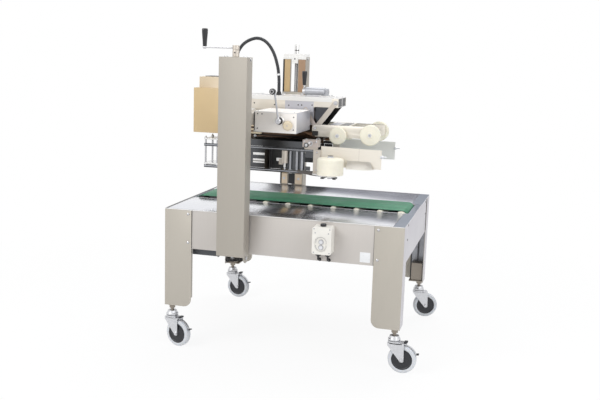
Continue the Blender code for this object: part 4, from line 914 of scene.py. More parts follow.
def belt_motor():
    """The gear motor under the belt bed at the outfeed end."""
    x, z = -0.375, 0.4805
    made = Piece("belt_motor_finish")
    shell = rounded(((0, -0.41), (0.036, -0.41), (0.04, -0.404), (0.04, -0.372), (0.044, -0.37),
                     (0.044, -0.225), (0.048, -0.222), (0.048, -0.205), (0, -0.205)), 0.0015, 3)
    made.turned("motor", shell, (x, 0, z), Y_AXIS, 56)
    made.block("motor", (x - 0.042, -0.206, 0.435), (x + 0.042, -0.1, 0.54), 0.005, 3)
    made.block("dark", (x - 0.052, -0.19, 0.538), (x + 0.052, -0.116, 0.5825), 0.0015)
    made.turned("motor", rounded(rod(0.03, -0.101, -0.094), 0.001, 2), (x, 0, 0.478), Y_AXIS, 40)
    made.turned("zinc", capped(0.012, -0.095, -0.071, 0.011, -0.07), (x, 0, 0.478), Y_AXIS, 24)
    teeth = sprocket(x, 0.478, 16, (0.0205, 0.3), (0.024, 0.12))
    made.slab("dark", teeth, "Y", -0.082, -0.076, 0.0004, 1)
    made.block("motor", (x - 0.025, -0.33, 0.52), (x + 0.025, -0.26, 0.552), 0.003, 3)
    made.turned("black", capped(0.007, 0, 0.01, 0.0055, 0.016), (x + 0.024, -0.295, 0.536), X_AXIS, 20)
    made.block("motor", (-0.426, -0.409, 0.437), (-0.302, -0.406, 0.471), 0.0008)
    made.block("motor", (-0.426, -0.409, 0.437), (-0.302, -0.2, 0.439), 0.0008)
    made.block("dark", (-0.305, -0.4085, 0.4335), (-0.302, -0.2, 0.471), 0.0008)
    made.done("frame", ["belt_motor"])
    grown("belt_motor_fins", spots_around(x, -0.2975, z, 0.0455, 28), RIDGES, "frame", "motor",
          {"Thick": 0.0018, "Long": 0.146, "Deep": 0.005})
    bolts = [((x + 0.03 * a, -0.1, 0.4875 + 0.04 * b), (0, 1, 0)) for a, b in QUARTERS]
    screws("belt_motor_bolts", bolts, "frame", 0.0045, 0.0025, "zinc", HEXES)


def lifting_chain():
    """The chain under the table that turns the rear screw with the front one."""
    loop = oblong((SCREW_X, SCREW_Y), (SCREW_X, -SCREW_Y), 0.0235, 16)
    points = [(x, y, 0.453) for x, y in loop]
    grown("lifting_chain", path_object(points, True), CHAIN, "frame", "dark",
          {"Pitch": 0.0127, "Width": 0.007})


# ------------------------------------------------------------------ columns and screws
def columns():
    inside = [("liner", lambda middle, normal: abs(middle.y) > 0.4585 and abs(middle.y) < 0.5255
               and abs(middle.x - TABLE_MIDDLE - SCREW_X) < 0.061 and 0.5 < middle.z < 1.3)]
    refined("front_column", "column", 0.0012)
    refined("rear_column", "column", 0.0012, repaint=inside)
    for name, side in (("front", -1), ("rear", 1)):
        cap_screws = [((x, y * side, 1.334), (0, 0, 1)) for y in (0.474, 0.512) for x in (-0.25, -0.16)]
        screws(name + "_cap_screws", cap_screws, "frame", 0.0055, 0.0042)
        bolts = [((-0.142, 0.482 * side, 1.324), (1, 0, 0)), ((-0.142, 0.4918 * side, 0.463), (1, 0, 0))]
        screws(name + "_column_bolts", bolts, "frame", 0.0065, 0.004, "chrome", HEXES)
        face = [((-0.268, y * side, z), (-1, 0, 0)) for y in (0.475, 0.508) for z in (0.5, 0.62)]
        screws(name + "_column_side_screws", face, "frame", 0.005, 0.0025)
    strips = Piece("rear_column_strips")
    for low, high in ((-0.2595, -0.2285), (-0.1835, -0.1465)):
        # The right lip takes a darker copy of the tan: painted shade.
        strips.block("tan_strip" if low < -0.2 else "tan_painted_shade", (low, 0.4532, 0.711),
                     (high, 0.4557, 1.3195), 0.0006)
        # The strips' lower ends in a lighter tan: painted light.
        strips.block("pad", (low, 0.452, 0.653), (high, 0.4557, 0.708), 0.001)
    strips.block("black", (-0.268, 0.452, 0.654), (-0.26, 0.4557, 1.3195), 0.0005)
    strips.block("black", (-0.224, 0.456, 0.654), (-0.186, 0.4572, 0.711), 0.0003)
    for low, high in ((-0.268, -0.2225), (-0.1875, -0.142)):
        strips.block("edge", (low, 0.4535, 1.3215), (high, 0.456, 1.3345), 0.0005)
    strips.block("edge", (-0.2225, 0.4535, 1.3), (-0.1875, 0.457, 1.3345), 0.0005)
    strips.done("frame")
    pad_screws = [((x, 0.452, 0.683), (0, -1, 0)) for x in (-0.246, -0.165)]
    screws("rear_column_pad_screws", pad_screws, "frame", 0.005, 0.003, "zinc", HEXES)
    screws("rear_column_strip_screw", [((SCREW_X, 0.4535, 1.3235), (0, -1, 0))], "frame", 0.004, 0.002,
           "dark")
    cap = Piece("rear_column_cap")
    cap.block("edge", (-0.266, 0.456, 1.3342), (-0.144, 0.458, 1.3495), 0.0006)
    cap.block("edge", (-0.266, 0.525, 1.3342), (-0.144, 0.527, 1.3495), 0.0006)
    for x in (-0.266, -0.146):
        cap.block("edge", (x, 0.4575, 1.3342), (x + 0.002, 0.5255, 1.3495), 0.0006)
    for low, high in ((-0.265, -0.224), (-0.186, -0.145)):
        cap.block("edge", (low, 0.457, 1.3475), (high, 0.526, 1.3495), 0.0005)
    for low, high in ((0.457, 0.4725), (0.5105, 0.526)):
        cap.block("edge", (-0.2245, low, 1.3475), (-0.1855, high, 1.3495), 0.0005)
    cap.done("frame")


def lifting_screws():
    """Threaded spindles with their sprockets, and the crank on the front one."""
    for node, side, top in (("front_lead_screw", -1, 1.383), ("rear_lead_screw", 1, 1.356)):
        body = BODY_OF[node]
        made = Piece(node + "_finish")
        core = ((0, 0.444), (0.006, 0.444), (0.006, 0.45), (0.012, 0.45), (0.012, 0.456), (0.008, 0.4565),
                (0.008, 0.4795), (0.0092, 0.48), (0.0092, top - 0.001), (0.0084, top), (0, top))
        made.turned("zinc", core, (SCREW_X, SCREW_Y * side, 0), Z_AXIS, 32)
        teeth = sprocket(SCREW_X, SCREW_Y * side, 12, (0.0215, 0.34), (0.026, 0.1))
        made.slab("dark", teeth, "Z", 0.4503, 0.4557, 0.0004, 1)
        if side > 0:
            made.turned("dark", rounded(hoop(0.0095, 0.015, 1.335, 1.3464), 0.001, 2), (SCREW_X, SCREW_Y, 0),
                        Z_AXIS, 40, False)
            head = rounded(((0, 1.345), (0.012, 1.345), (0.012, 1.366), (0.0112, 1.3665), (0.0112, 1.37),
                            (0.012, 1.3705), (0.012, 1.396), (0.0105, 1.399), (0, 1.399)), 0.0006, 2)
            made.turned("bright", head, (SCREW_X, SCREW_Y, 0), Z_AXIS, 40)
            made.turned("black", hoop(0.0113, 0.0123, 1.3662, 1.3702), (SCREW_X, SCREW_Y, 0), Z_AXIS, 40)
        made.done(body, [node])
        start = spots([((SCREW_X, SCREW_Y * side, 0.485), (0, 0, 1))])
        height = 0.843 if side < 0 else 0.844
        grown(node + "_thread", start, THREAD, body, "zinc",
              {"Core": 0.0088, "Turns": 168.0, "Height": height, "Ridge": 0.0012})

    crank = Piece("crank_finish")
    grip_x = -0.346
    x, y = SCREW_X, -SCREW_Y
    hub = rounded(((0.0105, 1.3346), (0.0148, 1.3346), (0.0148, 1.36), (0.0138, 1.361), (0.0138, 1.364),
                   (0.0148, 1.365), (0.0148, 1.3834), (0.0105, 1.3834)), 0.0009, 3)
    crank.turned("post", hub, (x, y, 0), Z_AXIS, 44)
    arm = rounded_rectangle(-0.355, -0.216, y - 0.009, y + 0.009, 0.0088, 8)
    crank.slab("chrome", arm, "Z", 1.368, 1.374, 0.001)
    pin = rounded(((0, 1.3645), (0.0068, 1.3645), (0.0068, 1.3682), (0.004, 1.37), (0.004, 1.4425),
                   (0, 1.4425)), 0.0006, 2)
    crank.turned("chrome", pin, (grip_x, y, 0), Z_AXIS, 24)
    crank.done("crank", ["crank_arm"])
    screws("crank_hub_screws", [((x, y - 0.0146, 1.3525), (0, -1, 0)), ((x + 0.0146, y, 1.3525), (1, 0, 0))],
           "crank", 0.0032, 0.0012, "dark")

    grip = Piece("crank_grip_finish")
    shape = rounded(((0.0046, 1.375), (0.0085, 1.375), (0.0088, 1.38), (0.0098, 1.4), (0.0124, 1.43),
                     (0.013, 1.444), (0.0112, 1.4502), (0, 1.4502), (0, 1.4432), (0.0046, 1.4432)), 0.0018, 3)
    grip.turned("black", shape, (grip_x, y, 0), Z_AXIS, 40, False)
    grip.done("crank_grip", ["crank_grip"])


# ------------------------------------------------------------------ switch box
BUTTON_X, BUTTONS = 0.1985, {"start_button": 0.57, "stop_button": 0.546}
CABLE_XS = (0.1805, 0.2225)


def switch_box():
    made = Piece("switch_box_finish")
    x, front = 0.2005, -0.51
    made.slab("white", rounded_rectangle(0.1582, 0.2428, 0.5142, 0.6338, 0.0085, 6), "Y", front + 0.016,
              -0.4472, 0.002, 3)
    lid = rounded_rectangle(0.1584, 0.2426, 0.5144, 0.6336, 0.0085, 6)
    window = ((0.1975, 0.567), (0.1975, 0.552))
    made.add("white", lid_with_window(lid, oblong(*window, 0.027, 20), front, front + 0.0154))
    made.slab("white", oblong(*window, 0.0268, 20), "Y", front + 0.003, front + 0.006, 0)
    made.slab("white", oblong(*window, 0.0185, 16), "Y", front + 0.0014, front + 0.0034, 0.0008)
    for z in BUTTONS.values():
        made.turned("grey_ring", rounded(hoop(0.0089, 0.0112, 0.0, 0.0042), 0.0006, 2),
                    (BUTTON_X, front - 0.0012, z), Y_AXIS, 32)
    plug = [(0.1995 + 0.013 * math.cos(angle), -0.48 + 0.015 * math.sin(angle)) for angle in angles(28)]
    made.slab("black", plug, "Z", 0.6335, 0.644, 0.002, 3)
    for place in CABLE_XS:
        gland = rounded(((0, 0.4975), (0.0048, 0.4975), (0.006, 0.502), (0.0118, 0.504), (0.012, 0.51),
                         (0.0085, 0.511), (0.0085, 0.515), (0, 0.515)), 0.0006, 2)
        made.turned("black", gland, (place, -0.478, 0), Z_AXIS, 24)
    made.done("frame", ["switch_box"])
    corner_screws = [((x + a, front, z), (0, -1, 0)) for a in (-0.0345, 0.0345) for z in (0.5225, 0.6255)]
    corner_screws += [((x + a, front, 0.608), (0, -1, 0)) for a in (-0.029, 0.029)]
    screws("switch_box_screws", corner_screws, "frame", 0.003, 0.0008, "grey_ring")
    beads = [((px, front + 0.0029, pz), (0, -1, 0)) for px, pz in oblong(*window, 0.0228, 15)]
    screws("switch_box_beads", beads, "frame", 0.0017, 0.001, "grey_ring")
    for name, z in BUTTONS.items():
        button = Piece(name + "_finish")
        cap = rounded(((0, -0.5149), (0.0052, -0.5143), (0.0074, -0.5147), (0.0084, -0.5138),
                       (0.0084, -0.4955), (0, -0.4955)), 0.0006, 2)
        button.turned("button", cap, (BUTTON_X, 0, z), Y_AXIS, 36)
        button.done(name, [name])
    tails = Piece("switch_cable_tails")
    for place in CABLE_XS:
        route = [(place, -0.478, 0.499), (place, -0.478, 0.486), (place, -0.464, 0.4795),
                 (place, -0.4395, 0.479)]
        tails.add("black", tube(bent(route, 0.01, 6), 0.0042, 12))
        collar = rounded(hoop(0.0043, 0.0078, 0.447, 0.45), 0.0006, 2)
        tails.turned("black", collar, (place, 0, 0.479), -Y_AXIS, 24)
    tails.done("frame")


def lid_with_window(outline, window, front, back):
    """A lid whose face has an oval window cut through it."""
    made = bmesh.new()
    rings = []
    for level, points in ((front, outline), (front, window), (back, window), (back, outline)):
        ring = [made.verts.new((px, level, pz)) for px, pz in points]
        closing = made.edges.new((ring[-1], ring[0]))
        rings.append((ring, [*(made.edges.new(pair) for pair in zip(ring, ring[1:])), closing]))
    face, window_front, window_back, rim = rings
    for outer, inner in ((face, window_front), (rim, window_back)):
        bmesh.ops.triangle_fill(made, use_beauty=True, edges=outer[1] + inner[1])
    skinned(made, face[0], rim[0])
    skinned(made, window_front[0], window_back[0])
    bmesh.ops.recalc_face_normals(made, faces=made.faces)
    return softened(made, 0.0014, 3, 0.9)


# ------------------------------------------------------------------ head
HOSE_ROUTE = (
    (-0.388, 0.01, 1.1835), (-0.388, 0.009, 1.23), (-0.383, 0.006, 1.29), (-0.37, 0.003, 1.345),
    (-0.342, 0, 1.388), (-0.303, 0, 1.413), (-0.262, 0, 1.42), (-0.222, 0, 1.402), (-0.19, 0.002, 1.36),
    (-0.169, 0.005, 1.302), (-0.16, 0.01, 1.24), (-0.159, 0.014, 1.1555),
)


def smooth_route(route, steps):
    """Points on the smooth curve through a route."""
    spans = len(route) - 1
    points = []
    for step in range(steps):
        scaled = min(step / (steps - 1) * spans, spans - 1e-9)
        index = int(scaled)
        t = scaled - index
        p0, p1, p2, p3 = [Vector(route[max(0, min(spans, index + k))]) for k in (-1, 0, 1, 2)]
        points.append(0.5 * (2 * p1 + (p2 - p0) * t + (2 * p0 - 5 * p1 + 4 * p2 - p3) * t * t
                             + (3 * p1 - p0 - 3 * p2 + p3) * t * t * t))
    return points


def lift_and_beam():
    refined("lift_carriage", "column", 0.0012)
    refined("head_beam", "beam", 0.0011, repaint=[
        ("guide", lambda middle, normal: abs(normal.y) > 0.9 and middle.z < 1.134 and abs(middle.y) > 0.0815),
    ])
    lips = Piece("beam_lips")
    for side in SIDES:
        lips.block("edge", (-0.369, 0.0848 * side, 1.137), (0.127, 0.0866 * side, 1.1556), 0.0007)
        lips.block("edge", (-0.369, 0.07 * side, 1.1549), (0.1575, 0.0866 * side, 1.1562), 0.0005)
    lips.block("beam", (-0.368, -0.07, 1.1549), (-0.26, 0.07, 1.1562), 0.0005)
    for side in SIDES:
        lips.block("lavender", (-0.098, 0.0848 * side, 1.088), (0.04, 0.0856 * side, 1.1365), 0.0003)
        lips.block("black", (0.1545, 0.003 * side, 1.116), (0.156, 0.081 * side, 1.151), 0.0003)
    lips.done("head")
    side_screws = ((-0.15, 1.114), (-0.08, 1.114), (-0.0343, 1.118), (-0.0173, 1.118), (0.033, 1.12),
                   (-0.25, 1.118), (-0.33, 1.118))
    places = [((x, 0.0855 * side, z), (0, side, 0)) for side in SIDES for x, z in side_screws]
    screws("beam_side_screws", places, "head", 0.0034, 0.0013, "dark")
    tops = [((x, 0.06 * side, 1.155), (0, 0, 1)) for x in (-0.255, -0.155, -0.06, 0.118, 0.145)
            for side in SIDES]
    screws("beam_top_screws", tops, "head", 0.0042, 0.0022, "zinc", HEXES)
    bolts = [((x, 0.44 * side, z), (0, -side, 0)) for x in (-0.254, -0.156) for z in (1.105, 1.136)
             for side in SIDES]
    screws("carriage_bolts", bolts, "head", 0.006, 0.0045, "zinc", HEXES)
    ends = [((x, y, 1.0895), (0, 0, 1)) for x in (-0.235, -0.175) for y in (-0.42, -0.38, 0.38, 0.42)]
    screws("cross_beam_screws", ends, "head", 0.005, 0.004, "zinc", HEXES)


CLAMP_PIVOT, WIDTH_KNOB = (-0.045, 0, 1.062), (-0.006, 0, 1.043)


def housing():
    made = Piece("front_housing_trim")
    made.block("edge", (-0.164, -0.3512, 1.008), (0.0318, -0.3498, 1.0135), 0.0005)
    made.block("edge", (-0.164, -0.3512, 1.095), (0.0318, -0.3498, 1.1), 0.0005)
    made.block("dark", (-0.164, -0.3508, 1.0135), (-0.16, -0.3498, 1.095), 0.0004)
    boss = rounded(((0.0066, -0.3505), (0.0215, -0.3505), (0.0215, -0.356), (0.018, -0.3585),
                    (0.018, -0.3615), (0.0066, -0.3615)), 0.0014, 3)
    made.turned("edge", boss, CLAMP_PIVOT, Y_AXIS, 44)
    knob = rounded(((0, -0.3505), (0.015, -0.3505), (0.015, -0.354), (0.0205, -0.355), (0.0205, -0.366),
                    (0.0185, -0.369), (0.014, -0.3703), (0, -0.3703)), 0.0008, 3)
    made.turned("brass", knob, WIDTH_KNOB, Y_AXIS, 48)
    made.turned("post", ((0, -0.37), (0.0045, -0.37), (0.0045, -0.3714), (0, -0.3716)), WIDTH_KNOB, Y_AXIS, 6)
    made.done("head")
    ends = [("lavender", lambda middle, normal: abs(normal.x) > 0.9)]
    refined("front_housing", "housing", 0.0011, repaint=ends)
    flutes = spots_around(WIDTH_KNOB[0], -0.3602, WIDTH_KNOB[2], 0.0205, 30)
    grown("width_knob_flutes", flutes, RIDGES, "head", "brass",
          {"Thick": 0.0014, "Long": 0.0098, "Deep": 0.0016})
    places = [((x, -0.35, z), (0, -1, 0)) for x, z in ((-0.148, 1.0885), (-0.128, 1.0885), (0.018, 1.08),
                                                       (0.018, 1.024), (-0.148, 1.024))]
    screws("housing_screws", places, "head", 0.003, 0.0012, "dark")
    tops = [((x, y, 1.0995), (0, 0, 1)) for x in (-0.15, 0.018) for y in (-0.335, -0.23, -0.125)]
    screws("housing_top_screws", tops, "head", 0.0036, 0.002)


def clamp_lever():
    made = Piece("clamp_lever_finish")
    knob_place = (-0.071, 0, 1.19)
    hub = rounded(((0, -0.3838), (0.0095, -0.3838), (0.0128, -0.381), (0.0128, -0.366), (0.0108, -0.3626),
                   (0, -0.3626)), 0.001, 3)
    made.turned("chrome", hub, CLAMP_PIVOT, Y_AXIS, 40)
    made.turned("zinc", rod(0.006, -0.364, -0.333), CLAMP_PIVOT, Y_AXIS, 20)
    made.turned("galvanised", ((0, -0.3855), (0.0048, -0.385), (0.0052, -0.383), (0, -0.383)), CLAMP_PIVOT,
                Y_AXIS, 6)
    handle = [(-0.045, -0.374, 1.062), (-0.0475, -0.3745, 1.08), (-0.0555, -0.374, 1.13),
              (-0.065, -0.374, 1.19)]
    made.add("galvanised", tube(bent(handle, 0.02, 5), 0.004, 16))
    made.turned("chrome", rounded(rod(0.0062, -0.006, 0.006), 0.001, 2), (-0.0462, -0.374, 1.0745),
                Vector((-0.1, 0, 1)), 24)
    knob = rounded(((0, -0.396), (0.01, -0.396), (0.0135, -0.3915), (0.0135, -0.376), (0.01, -0.3712),
                    (0, -0.3712)), 0.003, 5)
    made.turned("black", knob, knob_place, Y_AXIS, 44)
    ring = rounded(hoop(0.0055, 0.0088, -0.3968, -0.3935), 0.0006, 2)
    made.turned("chrome", ring, knob_place, Y_AXIS, 40)
    made.done("clamp_lever", ["clamp_lever"])


def control_box():
    refined("control_box", "tan", 0.0022, 3, repaint=[
        ("tan_cap", lambda middle, normal: middle.z > 1.184),
        ("black", lambda middle, normal: middle.z > 1.2345),
    ])
    made = Piece("control_box_trim")
    made.slab("tan", [(-0.194, 0.981), (0.039, 0.981), (0.039, 1.177), (-0.194, 1.177)], "X", -0.5135,
              -0.5115, 0.0008)
    for z in (1.01, 1.148):
        made.turned("zinc", rounded(rod(0.0038, z - 0.014, z + 0.014), 0.0006, 2), (-0.5105, 0.04, 0),
                    Z_AXIS, 16)
    made.turned("chrome", rounded(capped(0.01, 0, 0.0016, 0.007, 0.0026), 0.0005, 2),
                (-0.5133, -0.165, 1.079), -X_AXIS, 32)
    made.block("dark", (-0.5172, -0.1668, 1.0735), (-0.5158, -0.1632, 1.0845), 0.0004)
    gland = rounded(((0.0072, 1.1826), (0.013, 1.1826), (0.013, 1.1885), (0.0112, 1.19), (0.0112, 1.197),
                     (0.0072, 1.199)), 0.0008, 2)
    made.turned("black", gland, (-0.388, 0.0098, 0), Z_AXIS, 28)
    made.done("head")
    slots = [((x, 0.0452, 1.0 + 0.011 * step), (0, 1, 0)) for step in range(8) for x in (-0.47, -0.412)]
    grown("control_box_louvres", spots(slots), LOUVRES, "head", "tan",
          {"Wide": 0.046, "Tall": 0.0045, "Deep": 0.0022})
    places = [((x, y, 1.234), (0, 0, 1)) for x in (-0.493, -0.407) for y in (-0.158, 0.013)]
    screws("control_box_cap_screws", places, "head", 0.003, 0.0014, "zinc")


def cable_hose():
    hose = grown("cable_hose_ribbed", path_object(smooth_route(HOSE_ROUTE, 90)), HOSE, "head",
                 "hose", {"Radius": 0.0082, "Pitch": 0.0042, "Depth": 0.13, "Steps": 900},
                 angle=60)
    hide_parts("cable_hose")
    fittings = Piece("hose_fittings")
    fittings.turned("sticker", rounded(hoop(0.0078, 0.0092, -0.0045, 0.0045), 0.0006, 2),
                    (-0.1618, 0.0088, 1.2525), Vector((-0.12, -0.05, 1)), 32)
    gland = rounded(((0.0072, 1.156), (0.013, 1.156), (0.013, 1.162), (0.0112, 1.163), (0.0112, 1.17),
                     (0.0072, 1.172)), 0.0008, 2)
    fittings.turned("black", gland, (-0.159, 0.0137, 0), Z_AXIS, 28)
    fittings.done("head")


def adjuster():
    y, z = 0.05, 1.1765
    made = Piece("adjuster_cylinder_finish")
    barrel = rounded(((0, -0.035), (0.018, -0.035), (0.0205, -0.032), (0.0205, -0.025), (0.0195, -0.0245),
                      (0.0195, 0.05), (0.0205, 0.0505), (0.0205, 0.059), (0.018, 0.062), (0, 0.062)), 0.0008,
                     3)
    made.turned("galvanised", barrel, (0, y, z), X_AXIS, 48)
    made.turned("chrome", capped(0.0075, 0.06, 0.08, 0.006, 0.0815), (0, y, z), X_AXIS, 6)
    made.slab("edge", [(0.04, y - 0.03), (0.1, y - 0.03), (0.1, y + 0.034), (0.04, y + 0.034)], "Z", 1.1554,
              1.159, 0.0008)
    upright = [(y - 0.012, 1.158), (y + 0.012, 1.158), (y + 0.012, 1.187), (y + 0.007, 1.1925),
               (y - 0.007, 1.1925), (y - 0.012, 1.187)]
    made.slab("galvanised", upright, "X", 0.06, 0.078, 0.001)
    made.block("zinc", (-0.028, y - 0.012, 1.1554), (0.045, y + 0.012, 1.1612), 0.0008)
    made.done("head", ["adjuster_cylinder"])
    places = [((x, py, 1.159), (0, 0, 1)) for x in (0.05, 0.09) for py in (y - 0.022, y + 0.026)]
    screws("adjuster_foot_screws", places, "head", 0.0036, 0.0028, "chrome", HEXES)

    lever = Piece("adjuster_lever_finish")
    hub = rounded(((0, -0.05), (0.011, -0.05), (0.013, -0.0475), (0.013, -0.0356), (0, -0.0356)), 0.0008, 3)
    lever.turned("zinc", hub, (0, y, z), X_AXIS, 36)
    lever.turned("zinc", rod(0.006, -0.04, -0.02), (0, y, z), X_AXIS, 20)
    lever.turned("chrome", rod(0.0045, 1.1765, 1.215), (-0.043, y, 0), Z_AXIS, 20)
    grip = rounded(((0, 1.205), (0.008, 1.205), (0.0085, 1.209), (0.01, 1.23), (0.0122, 1.256),
                    (0.0125, 1.267), (0.0105, 1.272), (0, 1.272)), 0.0016, 3)
    lever.turned("black", grip, (-0.043, y, 0), Z_AXIS, 36)
    lever.done("adjuster_lever", ["adjuster_lever"])


# ------------------------------------------------------------------ taping unit
SHAFT_XS, SHAFT_Z = (-0.33, 0.065), 0.9555


def taping_unit():
    def on_shaft(middle, normal):
        reach = 0.0075
        level = abs(middle.z - SHAFT_Z) < reach
        return level and any(abs(middle.x - TABLE_MIDDLE - x) < reach for x in SHAFT_XS)

    refined("tape_head_frame", "streak", 0.0006, repaint=[("chrome", on_shaft)])
    places = [((x, 0.063 * side, z), (0, side, 0))
              for x, z in ((-0.3, 1.02), (-0.14, 1.09), (0, 1.098), (-0.25, 0.96)) for side in SIDES]
    screws("taping_plate_bolts", places, "head", 0.005, 0.003, "zinc", HEXES)
    made = Piece("taping_unit_details")
    for side in SIDES:
        made.block("mirror_dark", (-0.352, 0.0632 * side, 1.024), (-0.17, 0.07 * side, 1.036), 0.0008)
        made.slab("lavender", [(-0.155, 1.025), (0.0385, 1.025), (0.0385, 1.1105), (-0.155, 1.1105)], "Y",
                  0.0631 * side, 0.064 * side, 0.0003)
        made.block("mirror_dark", (-0.35, 0.0632 * side, 0.944), (0.05, 0.066 * side, 0.956), 0.0006)
        cheek = [(0.0405, 1.028), (0.06, 1.038), (0.078, 1.064), (0.12, 1.1105), (0.0405, 1.1105)]
        made.slab("rail", cheek, "Y", 0.0605 * side, 0.0625 * side, 0.0003)
        for low, high in ((0.97, 0.978), (0.986, 0.995), (1.005, 1.011)):
            made.block("brass", (-0.29, 0.0632 * side, low), (-0.215, 0.0745 * side, high), 0.0012)
        for x in SHAFT_XS:
            collar = rounded(hoop(0.0071, 0.0125, 0.064, 0.074), 0.0008, 2)
            made.turned("zinc", collar, (x, 0, SHAFT_Z), Y_AXIS * side, 32)
            cap = rounded(hoop(0.0071, 0.011, 0.293, 0.2995), 0.0008, 2)
            made.turned("black", cap, (x, 0, SHAFT_Z), Y_AXIS * side, 32)
    guard = [(-0.345, 0.95), (-0.292, 0.95), (-0.262, 0.974), (-0.262, 1.003), (-0.345, 1.003)]
    made.slab("dark", guard, "Y", -0.034, 0.034, 0.0012)
    core = rounded(rod(0.0165, -0.035, 0.035), 0.0015, 3)
    made.turned("cream", core, (-0.292, 0, 1.0205), Y_AXIS, 36)
    made.turned("dark", core, (0.06, 0, 0.962), Y_AXIS, 4)
    made.done("head")
    coils = spots([((-0.075, 0.05 * side, 1.06), (0, 0, 1)) for side in SIDES])
    grown("wipe_springs", coils, THREAD, "head", "chrome",
          {"Core": 0.0055, "Turns": 14.0, "Height": 0.04, "Ridge": 0.001})

    for name, x in (("front", 0.018), ("rear", -0.12)):
        z = 1.045
        roller_x, roller_z = x - 0.062, z - 0.098
        arm = Piece(name + "_wipe_arm_finish")
        outline = oblong_link((x, z), (roller_x, roller_z), 0.01)
        for side in SIDES:
            arm.slab("bright", outline, "Y", 0.04 * side, 0.043 * side, 0.0006)
            arm.turned("chrome", capped(0.0062, 0.0425, 0.0458, 0.005, 0.0466), (roller_x, 0, roller_z),
                       Y_AXIS * side, 6)
        arm.turned("chrome", rod(0.006, -0.066, 0.066), (x, 0, z), Y_AXIS, 24)
        sleeve = rounded(hoop(0.0055, 0.0085, -0.0405, 0.0405), 0.0008, 2)
        arm.turned("zinc", sleeve, (x, 0, z), Y_AXIS, 28)
        arm.turned("zinc", rod(0.004, -0.044, 0.044), (roller_x, 0, roller_z), Y_AXIS, 16)
        arm.done(name + "_wipe_arm", [name + "_wipe_arm"])
        wiper = Piece(name + "_wipe_roller_finish")
        tread = rounded(hoop(0.0046, 0.018, -0.0385, 0.0385), 0.0016, 4)
        wiper.turned("rubber", tread, (roller_x, 0, roller_z), Y_AXIS, 44)
        wiper.done(name + "_wipe_roller", [name + "_wipe_roller"])


def press_unit():
    x, z = 0.055, 1.015
    front_tip, rear_tip = (0.145, 1.134), (0.002, 1.1)
    stays = Piece("stay_yoke_finish")
    for side in SIDES:
        for tip, half, low, high, finish in ((front_tip, 0.0115, 0.0858, 0.0886, "post"),
                                             (rear_tip, 0.0095, 0.0856, 0.0882, "slider")):
            # The far stays take dark steel: painted shade.
            stays.slab(finish if side < 0 else "dark", oblong_link((x, z), tip, half), "Y", low * side,
                       high * side)
        stays.turned("zinc", rounded(rod(0.01, 0.0884, 0.0898), 0.0004, 2), (front_tip[0], 0, front_tip[1]),
                     Y_AXIS * side, 32)
        stays.turned("chrome", capped(0.008, 0.0896, 0.092, 0.0068, 0.0932), (front_tip[0], 0, front_tip[1]),
                     Y_AXIS * side, 6)
        for px, pz in ((x, z), rear_tip):
            stays.turned("zinc", capped(0.0058, 0.088, 0.0912, 0.0046, 0.0922), (px, 0, pz), Y_AXIS * side, 6)
    stays.turned("chrome", rounded(rod(0.006, -0.105, 0.105), 0.0008, 2), (x, 0, z), Y_AXIS, 24)
    stays.done("head", ["stay_yoke"])

    refined("press_arm", "guide", 0.0007)
    trim = Piece("press_arm_trim")
    for side in SIDES:
        trim.block("bright", (0.07, 0.093 * side, 1.031), (0.106, 0.0998 * side, 1.0322), 0.0004)
        trim.block("bright", (0.216, 0.092 * side, 1.0308), (0.346, 0.0998 * side, 1.0322), 0.0004)
        trim.block("rubber", (0.042, 0.1001 * side, 0.98), (0.07, 0.1028 * side, 1.002), 0.0012)
    trim.block("lavender", (0.115, -0.08, 1.0314), (0.16, 0.08, 1.0322), 0.0003)
    # A dark sheet on the top web stands for its slots: painted shade in the openings.
    trim.block("dark", (0.166, -0.078, 1.0313), (0.208, 0.078, 1.032), 0.0003)
    trim.done("press_arm")
    bolts = [((px, 0.08 * side, 1.032), (0, 0, 1)) for px in (0.122, 0.2) for side in SIDES]
    screws("press_arm_screws", bolts, "press_arm", 0.0032, 0.0018)

    for name, px, pz, radius in (("press_wheels_rear", 0.168, 0.987, 0.04),
                                 ("press_wheels_front", 0.32, 0.997, 0.0475)):
        wheels = Piece(name + "_finish")
        for side in SIDES:
            face = rounded(((0.0056, 0.1042), (radius - 0.003, 0.1042), (radius, 0.107), (radius, 0.1295),
                            (radius - 0.003, 0.132), (0.0145, 0.132), (0.012, 0.1332), (0.012, 0.1352),
                            (0.0056, 0.1352)), 0.0016, 4)
            wheels.turned("cream", face, (px, 0, pz), Y_AXIS * side, 60)
            wheels.turned("zinc", rounded(rod(0.0088, 0.1345, 0.1354), 0.0003, 2), (px, 0, pz),
                          Y_AXIS * side, 28)
            wheels.turned("galvanised", ((0, 0.135), (0.0048, 0.135), (0.0048, 0.1358), (0.003, 0.136),
                                         (0, 0.1354)), (px, 0, pz), Y_AXIS * side, 6)
        wheels.turned("zinc", rod(0.006, -0.106, 0.106), (px, 0, pz), Y_AXIS, 24)
        wheels.done(name, [name])


